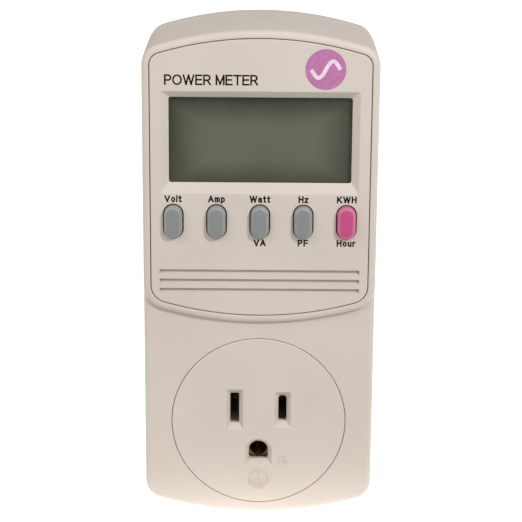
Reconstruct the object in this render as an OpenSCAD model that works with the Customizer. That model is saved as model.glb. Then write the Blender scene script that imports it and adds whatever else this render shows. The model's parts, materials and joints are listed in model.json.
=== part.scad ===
// Plug-in power meter: it plugs into a wall outlet, and a device plugs into its front.
// The origin is on the rear face, midway between the two plug blades.
// +X is to the right seen from the front, +Y points to the wall and +Z points up.

/* [Housing] */
// Width of the housing at its front edge
housing_w = 60.3; // [57:0.1:80]
// Height of the housing from arc to arc at its front edge
housing_h = 130.2; // [124:0.1:170]
// Depth of the housing from the wall to the raised display area
housing_d = 41.3; // [40:0.1:56]
// Height of the raised display area above the face around the socket
step_h = 1.6; // [0.8:0.1:2]
// Thickness of the moulded walls
wall = 2.2; // [1.8:0.1:3]
// Thickness of the front face behind the fascia panel and around the socket
face_t = 2.5; // [2.2:0.1:3.2]
// Radius of the arched top and bottom ends
end_r = 91.6; // [80:0.1:160]
// Radius of the four corners
corner_r = 5.3; // [4:0.1:8]
// Radius of the rounded front edges
edge_r = 1.5; // [0.5:0.1:1.8]
// Radius of the rounded edge at the wall
back_edge_r = 1; // [0.4:0.1:1.5]
// How much each side grows from the front edge to the parting line
draft = 0.4; // [0:0.1:0.8]
// How much each side shrinks from the parting line to the wall
cover_draft = 0.15; // [0.05:0.05:0.4]
// Depth of the rear cover from the wall to the parting line
cover_d = 9.7; // [9.2:0.1:12]
// Height of the cover's tongue inside the front housing
lip_h = 2; // [1:0.1:3]
// Distance from the top of the housing down to the plug's blades
plug_drop = 40.1; // [36:0.1:50]

/* [Fascia panel] */
// Width of the rim between the panel and the outer edge
rim = 2.15; // [1.9:0.05:3]
// Distance from the top of the housing down to the panel's lowest point
panel_drop = 74.1; // [72:0.1:80]
// Width of the rounded bead below the panel
bead = 2.3; // [1.8:0.1:3]
// Thickness of the panel
panel_t = 2.2; // [2:0.1:2.6]
// Radius of the panel's upper corners
panel_top_r = 3.1; // [1:0.1:5]
// Radius of the panel's lower corners
panel_low_r = 4.5; // [1:0.1:6]
// Radius of the arched lower edge of the panel
panel_end_r = 90; // [80:0.1:160]
// Gap between the panel and the housing
seam_gap = 0.15; // [0.05:0.01:0.3]
// Length of the grooves across the panel
groove_l = 51.6; // [40:0.1:52]
// Width of each groove
groove_w = 1.15; // [0.6:0.05:1.6]
// Depth of each groove
groove_depth = 0.9; // [0.4:0.1:1.2]
// Distance between the middles of neighbouring grooves
groove_pitch = 2.5; // [2:0.1:3]
// Distance from the top of the housing down to the middle groove
groove_drop = 65; // [64:0.1:66]

/* [Display] */
// Width of the display window
window_w = 46.6; // [40:0.1:48]
// Height of the display window
window_h = 22; // [18:0.1:23]
// Distance from the top of the housing down to the window's middle
window_drop = 28.1; // [27:0.1:29]
// Width of the window's bevel at its sides
bevel_side = 1.8; // [1:0.1:2.2]
// Width of the window's bevel at its top
bevel_top = 1.6; // [1:0.1:2.2]
// Width of the window's bevel at its bottom
bevel_bottom = 2.6; // [1:0.1:3]
// Depth of the bevel, down to the face of the lens
bevel_depth = 1.5; // [1:0.1:1.6]
// How far the lens reaches under the panel on each side
lens_lap = 1.2; // [0.8:0.1:1.4]
// Thickness of the clear lens
lens_t = 1.2; // [0.8:0.1:1.5]
// Thickness of the liquid crystal cell
lcd_t = 2.8; // [2:0.1:3]
// Wall of the frame that holds the cell
lcd_frame_wall = 1.2; // [0.8:0.1:1.4]
// Height of the frame above the display board
lcd_stand = 7; // [6:0.1:7.1]

/* [Buttons] */
// Width of each button
key_w = 4.75; // [4:0.05:5.6]
// Height of each button
key_h = 8.6; // [7:0.1:9]
// Gap around each button in its hole
key_gap = 0.25; // [0.15:0.01:0.4]
// Distance between the middles of neighbouring buttons
key_pitch = 11.1; // [9:0.1:11.4]
// How far the buttons stand out of the panel
key_proud = 2; // [1:0.1:3]
// How far each button travels when it is pressed
key_travel = 0.6; // [0.2:0.05:0.8]
// Distance from the top of the housing down to the buttons' middles
key_drop = 49.05; // [48:0.05:50]
// Width of the flange that keeps each button in
key_flange = 0.8; // [0.5:0.1:1]
// Thickness of that flange
key_flange_t = 1.2; // [0.8:0.1:1.4]
// Side of the square push switches
switch_w = 6; // [4.5:0.1:6.2]
// Height of the push switches
switch_h = 3.5; // [3:0.1:3.8]
// Diameter of the push switches' stems
stem_d = 3.4; // [2.5:0.1:3.6]

/* [Socket] */
// Diameter of the round socket insert
insert_d = 45.8; // [44:0.1:47]
// Distance from the bottom of the housing up to the insert's middle
socket_rise = 26.1; // [25.8:0.1:30]
// Gap between the insert and the housing
insert_gap = 0.25; // [0.1:0.01:0.4]
// Thickness of the insert's front plate
insert_t = 3; // [2.5:0.1:3.5]
// Depth of the contact chambers from the insert's face to the carrier
chamber_d = 21.2; // [21:0.1:22.5]
// Height of the slots' middle above the insert's middle
slot_rise = 3.3; // [2:0.1:4]
// Width of the neutral slot
neutral_slot_w = 2.4; // [2:0.1:2.8]
// Height of the neutral slot
neutral_slot_h = 8.4; // [7:0.1:9]
// Width of the line slot
line_slot_w = 2.2; // [2:0.1:2.6]
// Height of the line slot
line_slot_h = 7.1; // [6.8:0.1:8]
// Radius of the ground hole
ground_hole_r = 2.55; // [2.5:0.01:2.8]
// Width of the slots' countersunk lead-in at the sides
lead_in = 0.95; // [0.5:0.05:1.2]
// Width of the slots' countersunk lead-in above and below
lead_in_end = 1.3; // [0.5:0.05:1.5]
// Depth of the lead-in
lead_in_depth = 1.6; // [0.8:0.1:2]
// Clearance of the contacts to a plug's blades and ground pin
grip_gap = 0.04; // [0.02:0.01:0.1]

/* [Plug] */
// Distance between the middles of the blades
blade_pitch = 12.7; // [12.6:0.1:12.8]
// Width of the blades
blade_w = 6.35; // [6.3:0.01:6.6]
// Thickness of the blades
blade_t = 1.52; // [1.4:0.01:1.65]
// Length of the blades past the rear face
blade_l = 17.8; // [15.9:0.1:18.2]
// Diameter of the hole in each blade
blade_hole_d = 3.2; // [2:0.1:4]
// Distance from the rear face to the hole in each blade
blade_hole_at = 11.9; // [11:0.1:12.5]
// Diameter of the ground pin
ground_d = 4.76; // [4.7:0.01:4.82]
// Length of the ground pin past the rear face
ground_l = 20.6; // [19:0.1:21.2]
// Distance from the blades' middle down to the ground pin
ground_drop = 11.86; // [11.8:0.01:11.9]
// Clearance around the blades and the pin in the rear cover
prong_gap = 0.1; // [0.05:0.01:0.2]
// Thickness of the clamp behind the blades
clamp_t = 2.4; // [2:0.1:2.6]

/* [Circuit boards] */
// Thickness of both boards
board_t = 1.6; // [1:0.1:1.7]
// Gap between the boards and the walls
board_gap = 0.8; // [0.5:0.1:1.5]
// Height of the power board above the cover's inside
board_stand = 7.2; // [6.8:0.1:7.3]
// Diameter of the insulated leads
lead_d = 3.4; // [2.6:0.1:3.8]

/* [Screws] */
// Diameter of the housing screws
screw_d = 3; // [2.5:0.1:3.2]
// Length of the housing screws under the head
screw_l = 24; // [16:0.5:28]
// Diameter of the housing screws' heads
screw_head_d = 5.4; // [4.6:0.1:5.6]
// Thickness of the housing screws' heads
screw_head_t = 2; // [1.5:0.1:2.4]
// How deep the housing screws' heads sit in the rear cover
screw_sunk = 3.2; // [2.6:0.1:4]
// Diameter of the small screws
small_screw_d = 2.2; // [1.8:0.1:2.4]
// Length of the small screws under the head
small_screw_l = 5.5; // [4.5:0.1:6]
// Clearance around every screw in its hole
screw_fit = 0.05; // [0.02:0.01:0.1]

/* [Label] */
// Width of the rating label
label_w = 38; // [20:0.5:40]
// Height of the rating label
label_h = 30; // [20:0.5:32]
// Distance from the blades down to the label's middle
label_drop = 42; // [40:0.5:46]

/* [Hidden] */
KEYS = ["volt", "amp", "watt", "hertz", "energy"];

round_fn = 64;          // true curves
bevel_steps = 4;        // facets across a rounded edge
corner_steps = 6;       // facets around a corner
end_steps = 14;         // facets along an arched end
sliver = 0.01;          // thickness of the slices that a hull spans
over = 1;               // how far a cut runs past the face it opens

// Depths along Y, from the raised face to the wall
y_raised = -housing_d;
y_face = y_raised + step_h;
y_inside = y_face + face_t;
y_pocket = y_raised + panel_t;
y_part = -cover_d;
y_floor = -wall;

// Heights along Z
z_top = plug_drop;
z_bottom = plug_drop - housing_h;
z_panel_low = z_top - panel_drop;
z_window = z_top - window_drop;
z_keys = z_top - key_drop;
z_grooves = z_top - groove_drop;
z_socket = z_bottom + socket_rise;
z_slots = z_socket + slot_rise;
z_ground_hole = z_slots - ground_drop;

// Display stack, from the lens to the display board
y_lens = y_raised + bevel_depth;
lcd_air = 0.1;
y_lcd = y_lens + lens_t + lcd_air;
reflector_t = 0.3;
frame_lift = 0.2;
y_lcd_back = y_lcd + lcd_t + reflector_t;
y_board = y_inside + frame_lift + lcd_stand;
y_board_back = y_board + board_t;
lens_w = window_w + 2 * lens_lap;
lens_h = window_h + 2 * lens_lap;
lens_fit = 0.1;
lcd_w = lens_w - 0.4;
lcd_h = lens_h + 0.4;
lcd_fit = 0.2;
frame_w = lcd_w + 2 * (lcd_fit + lcd_frame_wall);
frame_h = lcd_h + 2 * (lcd_fit + lcd_frame_wall);
strip_w = lcd_w - 4;
strip_t = 2;
strip_z = lcd_h / 2 - 2.2;
strip_fit = 0.1;

cutout_side = 0.8;
cutout_end = 0.5;

// Buttons
key_hole_w = key_w + 2 * key_gap;
key_hole_h = key_h + 2 * key_gap;
key_rest_gap = 0.05;
y_flange = y_inside + key_rest_gap;
y_flange_back = y_flange + key_flange_t;
y_switch = y_board - switch_h;
stem_in_switch = 0.8;
stem_fit = 0.05;
stem_reserve = 0.4;
key_dome = 0.8;
key_dome_in = 2.4;

// Tongue of the cover, and how the raised area meets the lower face
lip_air = 0.2;
raised_inset = 0.05;
raised_root = 3;

// How far an arched end lies below its highest point at x
function end_drop(x) = end_r - sqrt(end_r * end_r - x * x);

// Screw places: each boss is sunk a little into the wall beside it and the arched wall past it
boss_r = screw_d / 2 + 2;
boss_sunk = 0.55;
boss_x = housing_w / 2 - wall - boss_r + boss_sunk;
boss_in = end_drop(boss_x) + wall + boss_r - boss_sunk;
small_boss_r = small_screw_d / 2 + 1.5;
small_head_r = small_screw_d / 2 + 0.9;
small_head_t = 1.2;
y_screw_tip = -screw_sunk - screw_head_t - screw_l;
pilot_extra = 0.5;
shank_air = 0.2;
head_air = 0.3;
housing_screw_places = [for (x = [-boss_x, boss_x], z = [z_top - boss_in, z_bottom + boss_in]) [x, z]];
board_neck = boss_x - boss_r - board_gap;
board_top_in = end_drop(board_neck) + wall + 2.3;
upper_board_screw_x = boss_x - boss_r - small_boss_r - 2.2;
board_screw_places = concat(
    [for (x = [-1, 1]) [x * upper_board_screw_x, z_top - board_top_in - 3]],
    [for (x = [-1, 1]) [x * (housing_w / 2 - wall - small_boss_r - 1), z_keys - 9.6]]);

// Socket and carrier
y_insert_back = y_face + insert_t;
y_chamber_end = y_face + chamber_d;
flange_w = 2;
carrier_t = 2.2;
y_carrier_back = y_chamber_end + carrier_t;
ear_r = small_boss_r;
ear_x = housing_w / 2 - wall - small_boss_r + 0.4;
chamber_wall = 1.2;
chamber_w = 5.2;
chamber_h = 9.4;
contact_t = 0.7;
contact_w = 6;
contact_x = blade_pitch / 2;
contact_front = 1.2;
y_contact = y_insert_back + contact_front;
y_contact_base = y_chamber_end - contact_t;
tail_w = 3;
tail_fit = 0.15;
tube_r = ground_d / 2 + grip_gap;
tube_t = 0.7;
tube_slit = 1.2;
tube_air = 0.6;

// Power board
y_power_back = y_floor - board_stand;
y_power = y_power_back - board_t;
power_w = housing_w - 2 * (wall + board_gap);
z_power_top = z_top - boss_in - boss_r - board_gap;
z_power_low = z_bottom + boss_in + boss_r + board_gap;
power_screw_x = power_w / 2 - 3.2;
power_screw_places = [for (x = [-power_screw_x, power_screw_x],
    z = [z_power_top - 4, z_power_low + 4]) [x, z]];
z_ground_pin = -ground_drop;
shank_r = 1.9;
shank_fit = 0.1;
collar_t = 1.8;
y_clamp = y_floor - collar_t - clamp_t;
clamp_screw_x = 13.5;
bar_t = 0.8;
bar_w = 5;
bar_stand = 2;
y_bar = y_power - bar_stand - bar_t;
tab_w = 3;
tab_out = 1.2;
tab_fit = 0.15;

z_ground_tail = z_ground_hole + tube_r + tube_t / 2;
z_clamp = z_ground_pin / 2 - 1.5;       // middle of the prong clamp
ground_neck_r = ground_d / 2 + 0.2;
z_parts = z_ground_pin - 14;            // the parts on the power board are placed from here

// Display board and the ribbon cable to the power board
board_x = housing_w / 2 - wall - board_gap;
z_board_low = z_keys - 12.4;
z_board_shoulder = z_top - boss_in - boss_r - 0.4;
board_hole_r = small_screw_d / 2 + 0.15;
ribbon_w = 12;
ribbon_t = 0.9;
header_h = 3;
z_display_header = z_window + 11.5;
z_power_header = z_display_header - 8;

// Rating label
label_recess = 0.25;
label_air = 0.05;
label_fit = 0.3;
label_r = 1.5;

// Points of an arc about [cx, cz]
function arc(cx, cz, r, a0, a1, n, first = 0, last = 0) =
    [for (i = [first:n - last]) let (a = a0 + (a1 - a0) * i / n) [cx + r * cos(a), cz + r * sin(a)]];

// Half of an arched outline: an end's arc between two corner arcs, for the upper end when s is 1
function arched_end(w, apex, er, cr, s) =
    let (xc = w / 2 - cr,
         rise = sqrt((er - cr) * (er - cr) - xc * xc),
         a = atan2(rise, xc),
         z_end = apex - s * er,
         z_corner = z_end + s * rise,
         turn = s > 0 ? 0 : 180)
    concat(
        arc(s * xc, z_corner, cr, turn, turn + a, corner_steps),
        arc(0, z_end, er, turn + a, turn + 180 - a, end_steps, 1, 1),
        arc(-s * xc, z_corner, cr, turn + 180 - a, turn + 180, corner_steps));

// The housing's outline, g inside its front edge
function body_outline(g) = concat(
    arched_end(housing_w - 2 * g, z_top - g, end_r - g, corner_r - g, 1),
    arched_end(housing_w - 2 * g, z_bottom + g, end_r - g, corner_r - g, -1));

// The raised display area's outline, g inside its edge
function raised_outline(g) = concat(
    arched_end(housing_w - 2 * g, z_top - g, end_r - g, corner_r - g, 1),
    arched_end(housing_w - 2 * g, z_panel_low - bead + g, panel_end_r + bead - g, panel_low_r + bead - g,
        -1));

// The fascia panel's outline, g inside the seam
function panel_outline(g) = concat(
    arched_end(housing_w - 2 * (rim + g), z_top - rim - g, end_r - rim - g, panel_top_r - g, 1),
    arched_end(housing_w - 2 * (rim + g), z_panel_low + g, panel_end_r - g, panel_low_r - g, -1));

// A slot with round ends, upright when h is over w
function obround(w, h, n = 10) =
    let (r = min(w, h) / 2, dx = w / 2 - r, dz = h / 2 - r, turn = w > h ? -90 : 0)
    concat(arc(dx, dz, r, turn, turn + 180, n), arc(-dx, -dz, r, turn + 180, turn + 360, n));

// A rectangle with rounded corners
function rounded(w, h, r, n = 4) = concat(
    arc(w / 2 - r, h / 2 - r, r, 0, 90, n), arc(r - w / 2, h / 2 - r, r, 90, 180, n),
    arc(r - w / 2, r - h / 2, r, 180, 270, n), arc(w / 2 - r, r - h / 2, r, 270, 360, n));

// A flat shape in X and Z, from y0 to y1
module slab(y0, y1) translate([0, y1, 0]) rotate([90, 0, 0]) linear_extrude(y1 - y0) children();

// A round bar along Y
module peg(x, z, y0, y1, r) translate([x, y1, z]) rotate([90, 0, 0])
    cylinder(h = y1 - y0, r = r, $fn = round_fn);

// A block between two corners
module block(x0, x1, y0, y1, z0, z1) translate([x0, y0, z0]) cube([x1 - x0, y1 - y0, z1 - z0]);

// A block centred on x and z
module bar(x, z, w, h, y0, y1) block(x - w / 2, x + w / 2, y0, y1, z - h / 2, z + h / 2);

// A solid with a rounded edge of radius r at y_end, g_end inside its outline there and g_root at y_root
module round_edged(outline, y_end, r, g_end, y_root, g_root) {
    s = y_root > y_end ? sliver : -sliver;
    hull() {
        for (i = [0:bevel_steps]) {
            a = 90 * i / bevel_steps;
            y = y_end + sign(s) * r * (1 - sin(a));
            slab(min(y, y + s), max(y, y + s)) polygon(outline(g_end + r * (1 - cos(a))));
        }
        slab(min(y_root, y_root - s), max(y_root, y_root - s)) polygon(outline(g_root));
    }
}

// ---- Housing ----

module front_housing() color("#d9cdbf") difference() {
    union() {
        difference() {
            union() {
                round_edged(function (g) body_outline(g), y_face, edge_r, 0, y_part, -draft);
                round_edged(function (g) raised_outline(g), y_raised, edge_r, raised_inset,
                    y_face + raised_root, 0);
            }
            slab(y_inside, y_part + over) polygon(body_outline(wall));
            slab(y_part - lip_h - lip_air, y_part + over) polygon(body_outline(wall / 2 - draft));
        }
        for (p = housing_screw_places) peg(p[0], p[1], y_inside - over / 2, y_part - lip_h - lip_air, boss_r);
        for (p = board_screw_places) peg(p[0], p[1], y_inside - over / 2, y_board, small_boss_r);
        for (x = [-ear_x, ear_x]) peg(x, z_socket, y_inside - over / 2, y_chamber_end, ear_r);
    }
    slab(y_raised - over, y_pocket) polygon(panel_outline(-seam_gap));
    bar(0, z_window, lcd_w + 2 * cutout_side, lcd_h + 2 * cutout_end, y_pocket - over, y_inside + over);
    for (i = [-2:2]) slab(y_pocket - over, y_inside + over) translate([i * key_pitch, z_keys])
        polygon(obround(key_hole_w, key_hole_h));
    peg(0, z_socket, y_face - over, y_inside + over, insert_d / 2 + insert_gap);
    for (p = housing_screw_places)
        peg(p[0], p[1], y_screw_tip - pilot_extra, y_part + over, screw_d / 2 + screw_fit);
    for (p = board_screw_places)
        peg(p[0], p[1], y_board_back - small_screw_l - pilot_extra, y_board + over,
        small_screw_d / 2 + screw_fit);
    for (x = [-ear_x, ear_x])
        peg(x, z_socket, y_carrier_back - small_screw_l - pilot_extra, y_chamber_end + over,
        small_screw_d / 2 + screw_fit);
}

module rear_cover() color("#d3c7b9") difference() {
    union() {
        difference() {
            union() {
                round_edged(function (g) body_outline(g), 0, back_edge_r, cover_draft - draft, y_part,
                    -draft);
                slab(y_part - lip_h, y_part + over) polygon(body_outline(wall / 2 - draft + screw_fit));
            }
            slab(y_part - lip_h - over, y_floor) polygon(body_outline(wall));
        }
        for (p = housing_screw_places) peg(p[0], p[1], y_part - lip_h - lip_air, y_floor + over / 2, boss_r);
        for (p = power_screw_places) peg(p[0], p[1], y_power_back, y_floor + over / 2, small_boss_r);
        for (x = [-clamp_screw_x, clamp_screw_x])
            peg(x, z_clamp, y_clamp + clamp_t, y_floor + over / 2, small_boss_r);
    }
    for (x = [-1, 1]) bar(x * blade_pitch / 2, 0, blade_t + 2 * prong_gap, blade_w + 2 * prong_gap,
        y_floor - over, over);
    peg(0, z_ground_pin, y_floor - over, over, ground_neck_r + prong_gap);
    for (p = housing_screw_places) {
        peg(p[0], p[1], y_part - lip_h - over, over, screw_d / 2 + shank_air);
        peg(p[0], p[1], -screw_sunk - screw_head_t, over, screw_head_d / 2 + head_air);
    }
    for (p = power_screw_places)
        peg(p[0], p[1], y_power_back - over, y_power + small_screw_l + pilot_extra,
        small_screw_d / 2 + screw_fit);
    for (x = [-clamp_screw_x, clamp_screw_x])
        peg(x, z_clamp, y_clamp, y_floor + 1.2, small_screw_d / 2 + screw_fit);
    slab(-label_recess, over) translate([0, -label_drop])
        polygon(rounded(label_w + 2 * label_fit, label_h + 2 * label_fit, label_r + label_fit));
}

module front_panel() color("#dccfc1") difference() {
    slab(y_raised, y_pocket) polygon(panel_outline(0));
    slab(y_raised - over, y_pocket + over) translate([0, z_window]) polygon(rounded(window_w, window_h, 0.7));
    hull() {
        bar(0, z_window, window_w, window_h, y_lens - 0.001, y_lens);
        translate([0, 0, (bevel_top - bevel_bottom) / 2])
            bar(0, z_window, window_w + 2 * bevel_side, window_h + bevel_top + bevel_bottom,
                y_raised - sliver, y_raised);
    }
    bar(0, z_window, lens_w + 2 * lens_fit, lens_h + 2 * lens_fit, y_lens, y_pocket + over);
    for (i = [-2:2]) slab(y_raised - over, y_pocket + over) translate([i * key_pitch, z_keys])
        polygon(obround(key_hole_w, key_hole_h));
    for (i = [-1:1]) slab(y_raised - over, y_raised + groove_depth)
        translate([0, z_grooves + i * groove_pitch]) polygon(obround(groove_l, groove_w));
}

module housing_screws() color("#9a9a96") for (p = housing_screw_places) difference() {
    union() {
        peg(p[0], p[1], -screw_sunk - screw_head_t, -screw_sunk, screw_head_d / 2);
        peg(p[0], p[1], y_screw_tip, -screw_sunk - screw_head_t, screw_d / 2);
    }
    for (turn = [0, 90]) translate([p[0], 0, p[1]]) rotate([0, turn, 0])
        bar(0, 0, screw_head_d * 0.6, 0.8, -screw_sunk - 1.2, -screw_sunk + over);
}

module rating_label() color("#c9c9c4") slab(-label_recess, -label_air) translate([0, -label_drop])
    polygon(rounded(label_w, label_h, label_r));

// ---- Display ----

module display_lens() color("#5f6356", 0.6) slab(y_lens, y_lens + lens_t) translate([0, z_window])
    polygon(rounded(lens_w, lens_h, 1));

module lcd_cell() color("#6a6e5c") bar(0, z_window, lcd_w, lcd_h, y_lcd, y_lcd + lcd_t);

module lcd_reflector() color("#b9b9ad") bar(0, z_window, lcd_w - 2, lcd_h - 8, y_lcd + lcd_t, y_lcd_back);

module lcd_frame() color("#2c2c2c") difference() {
    bar(0, z_window, frame_w, frame_h, y_inside + frame_lift, y_board);
    bar(0, z_window, lcd_w + 2 * lcd_fit, lcd_h + 2 * lcd_fit, y_inside - over, y_lcd_back);
    bar(0, z_window, lcd_w - 6, lcd_h - 10, y_lcd_back - over, y_board + over);
    for (s = [-1, 1]) bar(0, z_window + s * strip_z, strip_w + 2 * strip_fit, strip_t + 2 * strip_fit,
        y_lcd_back - over, y_board + over);
}

// A rubber strip of fine conductors that joins the cell to the board
module contact_strip(s) color("#4d4d57")
    bar(0, z_window + s * strip_z, strip_w, strip_t, y_lcd + lcd_t, y_board);

module display_board() color("#3f6b4a") difference() {
    slab(y_board, y_board_back) union() {
        polygon([[-board_x, z_board_low], [board_x, z_board_low], [board_x, z_board_shoulder],
            [-board_x, z_board_shoulder]]);
        polygon([[-board_neck, z_board_shoulder - over], [board_neck, z_board_shoulder - over],
            [board_neck, z_top - board_top_in], [-board_neck, z_top - board_top_in]]);
    }
    for (p = board_screw_places) peg(p[0], p[1], y_board - over, y_board_back + over, board_hole_r);
}

// A screw along Y, whose head bears on y_seat and whose shank points to -Y when s is -1
module small_screw(p, y_seat, s, l = small_screw_l) {
    y_head = y_seat - s * small_head_t;
    y_tip = y_seat + s * l;
    difference() {
        union() {
            peg(p[0], p[1], min(y_seat, y_head), max(y_seat, y_head), small_head_r);
            peg(p[0], p[1], min(y_seat, y_tip), max(y_seat, y_tip), small_screw_d / 2);
        }
        for (turn = [0, 90]) translate([p[0], 0, p[1]]) rotate([0, turn, 0])
            bar(0, 0, small_head_r, 0.5, min(y_head, y_head + s * 0.7), max(y_head, y_head + s * 0.7));
    }
}

module display_board_screws() color("#9a9a96") for (p = board_screw_places) small_screw(p, y_board_back, -1);

// A chip with legs along the sides named in places, lying on y0 and rising s ways
module chip(x, z, w, h, t, y0, legs, pitch, four_sided) {
    bar(x, z, w, h, y0 + 0.2, y0 + t);
    for (s = [-1, 1], i = [0:legs - 1]) {
        d = (i - (legs - 1) / 2) * pitch;
        bar(x + s * (w / 2 + 0.4), z + d, 1, 0.4, y0, y0 + 0.5);
        if (four_sided) bar(x + d, z + s * (h / 2 + 0.4), 0.4, 1, y0, y0 + 0.5);
    }
}

module metering_chip() color("#2a2a2c") chip(-6, z_window, 12, 12, 2, y_board_back, 10, 1, true);

module amplifier_chip() color("#2a2a2c") chip(13, z_window - 2, 4, 8.6, 1.7, y_board_back, 7, 1.2, false);

module crystal() color("#b8b8b8") slab(y_board_back, y_board_back + 3.5) translate([13, z_window + 8])
    polygon(obround(10, 4.4));

// ---- Ribbon cable between the boards ----

// A pin header on a board, from y0 to y1
module header(z, y0, y1) bar(0, z, ribbon_w + 3, 2.5, y0, y1);

module display_header() color("#22252c") header(z_display_header, y_board_back, y_board_back + header_h);

module power_header() color("#22252c") header(z_power_header, y_power - header_h, y_power);

// The ribbon's middle line runs level out of one header and into the other
function ribbon_line(s, n = 16) =
    [for (i = [0:n]) let (t = i / n)
        [y_board_back + header_h + t * (y_power - y_board_back - 2 * header_h),
         z_display_header + (z_power_header - z_display_header) * (1 - cos(180 * t)) / 2 + s * ribbon_t / 2]];

module ribbon_cable() color("#9c9ca0") {
    low = ribbon_line(-1);
    high = ribbon_line(1);
    translate([-ribbon_w / 2, 0, 0]) rotate([90, 0, 90]) linear_extrude(ribbon_w)
        polygon(concat(low, [for (i = [len(high) - 1:-1:0]) high[i]]));
}

// ---- Buttons ----

function key_x(i) = (i - 2) * key_pitch;

module key(i) color(i == 4 ? "#bf5080" : "#888b8c") translate([key_x(i), 0, z_keys]) {
    hull() for (a = [0, 35, 65, 90]) {
        y = y_raised - key_proud + key_dome * (1 - sin(a));
        slab(y, y + sliver) polygon(obround(key_w - key_dome_in * (1 - cos(a)),
            key_h - key_dome_in * (1 - cos(a))));
    }
    slab(y_raised - key_proud + key_dome, y_flange + sliver) polygon(obround(key_w, key_h));
    slab(y_flange, y_flange_back) polygon(obround(key_w + 2 * key_flange, key_h + 2 * key_flange));
}

module stem(i) color("#e6e2da") peg(key_x(i), z_keys, y_flange_back, y_switch + stem_in_switch, stem_d / 2);

module push_switch(i) color("#3a3a3c") difference() {
    union() {
        bar(key_x(i), z_keys, switch_w, switch_w, y_switch, y_board);
        for (s = [-1, 1], t = [-1, 1])
            bar(key_x(i) + s * (switch_w / 2 + 0.4), z_keys + t * 2.2, 1.2, 0.7, y_board - 0.4, y_board);
    }
    peg(key_x(i), z_keys, y_switch - over, y_switch + stem_in_switch + key_travel + stem_reserve,
        stem_d / 2 + stem_fit);
}

// ---- Socket ----

// A tapered cut, from w by h at the bottom of the lead-in to the wider mouth at the face
module lead_in_cut(x, z, w, h) hull() {
    bar(x, z, w, h, y_face + lead_in_depth, y_face + lead_in_depth + sliver);
    bar(x, z, w + 2 * lead_in, h + 2 * lead_in_end, y_face - sliver, y_face);
}

// A hole with a round top and a flat bottom, g wider all round
module ground_shape(g) {
    r = ground_hole_r + g;
    circle(r = r, $fn = round_fn);
    translate([-r, -r]) square([2 * r, r]);
}

module socket_insert() color("#dccfc1") difference() {
    union() {
        peg(0, z_socket, y_face, y_insert_back, insert_d / 2);
        intersection() {
            peg(0, z_socket, y_inside + 0.01, y_insert_back + 0.8, insert_d / 2 + flange_w);
            slab(y_inside, y_insert_back + 0.8) polygon(body_outline(wall + 0.3));
            bar(0, z_socket, 2 * (ear_x - ear_r - 0.1), 3 * insert_d, y_inside, y_insert_back + 0.8);
        }
        for (x = [-1, 1]) bar(x * contact_x, z_slots, chamber_w + 2 * chamber_wall,
            chamber_h + 2 * chamber_wall, y_insert_back - over, y_chamber_end);
        peg(0, z_ground_hole, y_insert_back - over, y_chamber_end, tube_r + tube_t + tube_air + chamber_wall);
    }
    for (x = [-1, 1]) bar(x * contact_x, z_slots, chamber_w, chamber_h, y_insert_back, y_chamber_end + over);
    peg(0, z_ground_hole, y_insert_back, y_chamber_end + over, tube_r + tube_t + tube_air);
    bar(-contact_x, z_slots, neutral_slot_w, neutral_slot_h, y_face - over, y_insert_back + over);
    bar(contact_x, z_slots, line_slot_w, line_slot_h, y_face - over, y_insert_back + over);
    lead_in_cut(-contact_x, z_slots, neutral_slot_w, neutral_slot_h);
    lead_in_cut(contact_x, z_slots, line_slot_w, line_slot_h);
    slab(y_face - over, y_insert_back + over) translate([0, z_ground_hole]) ground_shape(0);
    hull() {
        slab(y_face + lead_in_depth, y_face + lead_in_depth + sliver) translate([0, z_ground_hole])
            ground_shape(0);
        slab(y_face - sliver, y_face) translate([0, z_ground_hole]) ground_shape(lead_in);
    }
}

module contact_carrier() color("#e4ddd0") difference() {
    union() {
        bar(0, z_socket, 2 * ear_x, 2 * ear_r, y_chamber_end, y_carrier_back);
        for (x = [-ear_x, ear_x]) peg(x, z_socket, y_chamber_end, y_carrier_back, ear_r - 0.6);
        bar(0, z_socket - 0.5, 26, 30, y_chamber_end, y_carrier_back);
    }
    for (x = [-ear_x, ear_x]) peg(x, z_socket, y_chamber_end - over, y_carrier_back + over, board_hole_r);
    for (x = [-1, 1]) {
        bar(x * (ear_x + 1.9), z_socket, 2.6, 3 * ear_r, y_chamber_end - over, y_carrier_back + over);
        bar(x * contact_x, z_slots, contact_t + 2 * tail_fit, tail_w + 2 * tail_fit,
            y_chamber_end - over, y_carrier_back + over);
    }
    bar(0, z_ground_tail, tail_w + 2 * tail_fit, contact_t + 2 * tail_fit, y_chamber_end - over,
        y_carrier_back + over);
}

module carrier_screws() color("#9a9a96") for (x = [-ear_x, ear_x])
    small_screw([x, z_socket], y_carrier_back, -1);

// Two sprung leaves joined at the back, with flared lips at the front and a tail to the board
module blade_contact(x) color("#c9a24d") translate([x, 0, 0]) {
    half = blade_t / 2 + grip_gap;
    for (s = [-1, 1]) translate([0, 0, z_slots - contact_w / 2]) linear_extrude(contact_w) polygon([
        [s * (half + 0.6), y_contact], [s * (half + 0.6 + contact_t), y_contact],
        [s * (half + contact_t), y_contact + 2.2], [s * (half + contact_t), y_contact_base + contact_t],
        [s * half, y_contact_base + contact_t], [s * half, y_contact + 2.2]]);
    bar(0, z_slots, 2 * (half + contact_t), contact_w, y_contact_base, y_contact_base + contact_t);
    bar(0, z_slots, contact_t, tail_w, y_contact_base, y_power_back + 0.8);
}

module ground_contact() color("#c9a24d") {
    difference() {
        peg(0, z_ground_hole, y_contact, y_chamber_end, tube_r + tube_t);
        peg(0, z_ground_hole, y_contact - over, y_chamber_end + over, tube_r);
        bar(0, z_ground_hole - tube_r, tube_slit, 2 * tube_r - 1, y_contact - over, y_chamber_end + over);
    }
    bar(0, z_ground_tail + 0.1, tail_w, contact_t, y_contact_base - 4, y_bar + bar_t);
}

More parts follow.
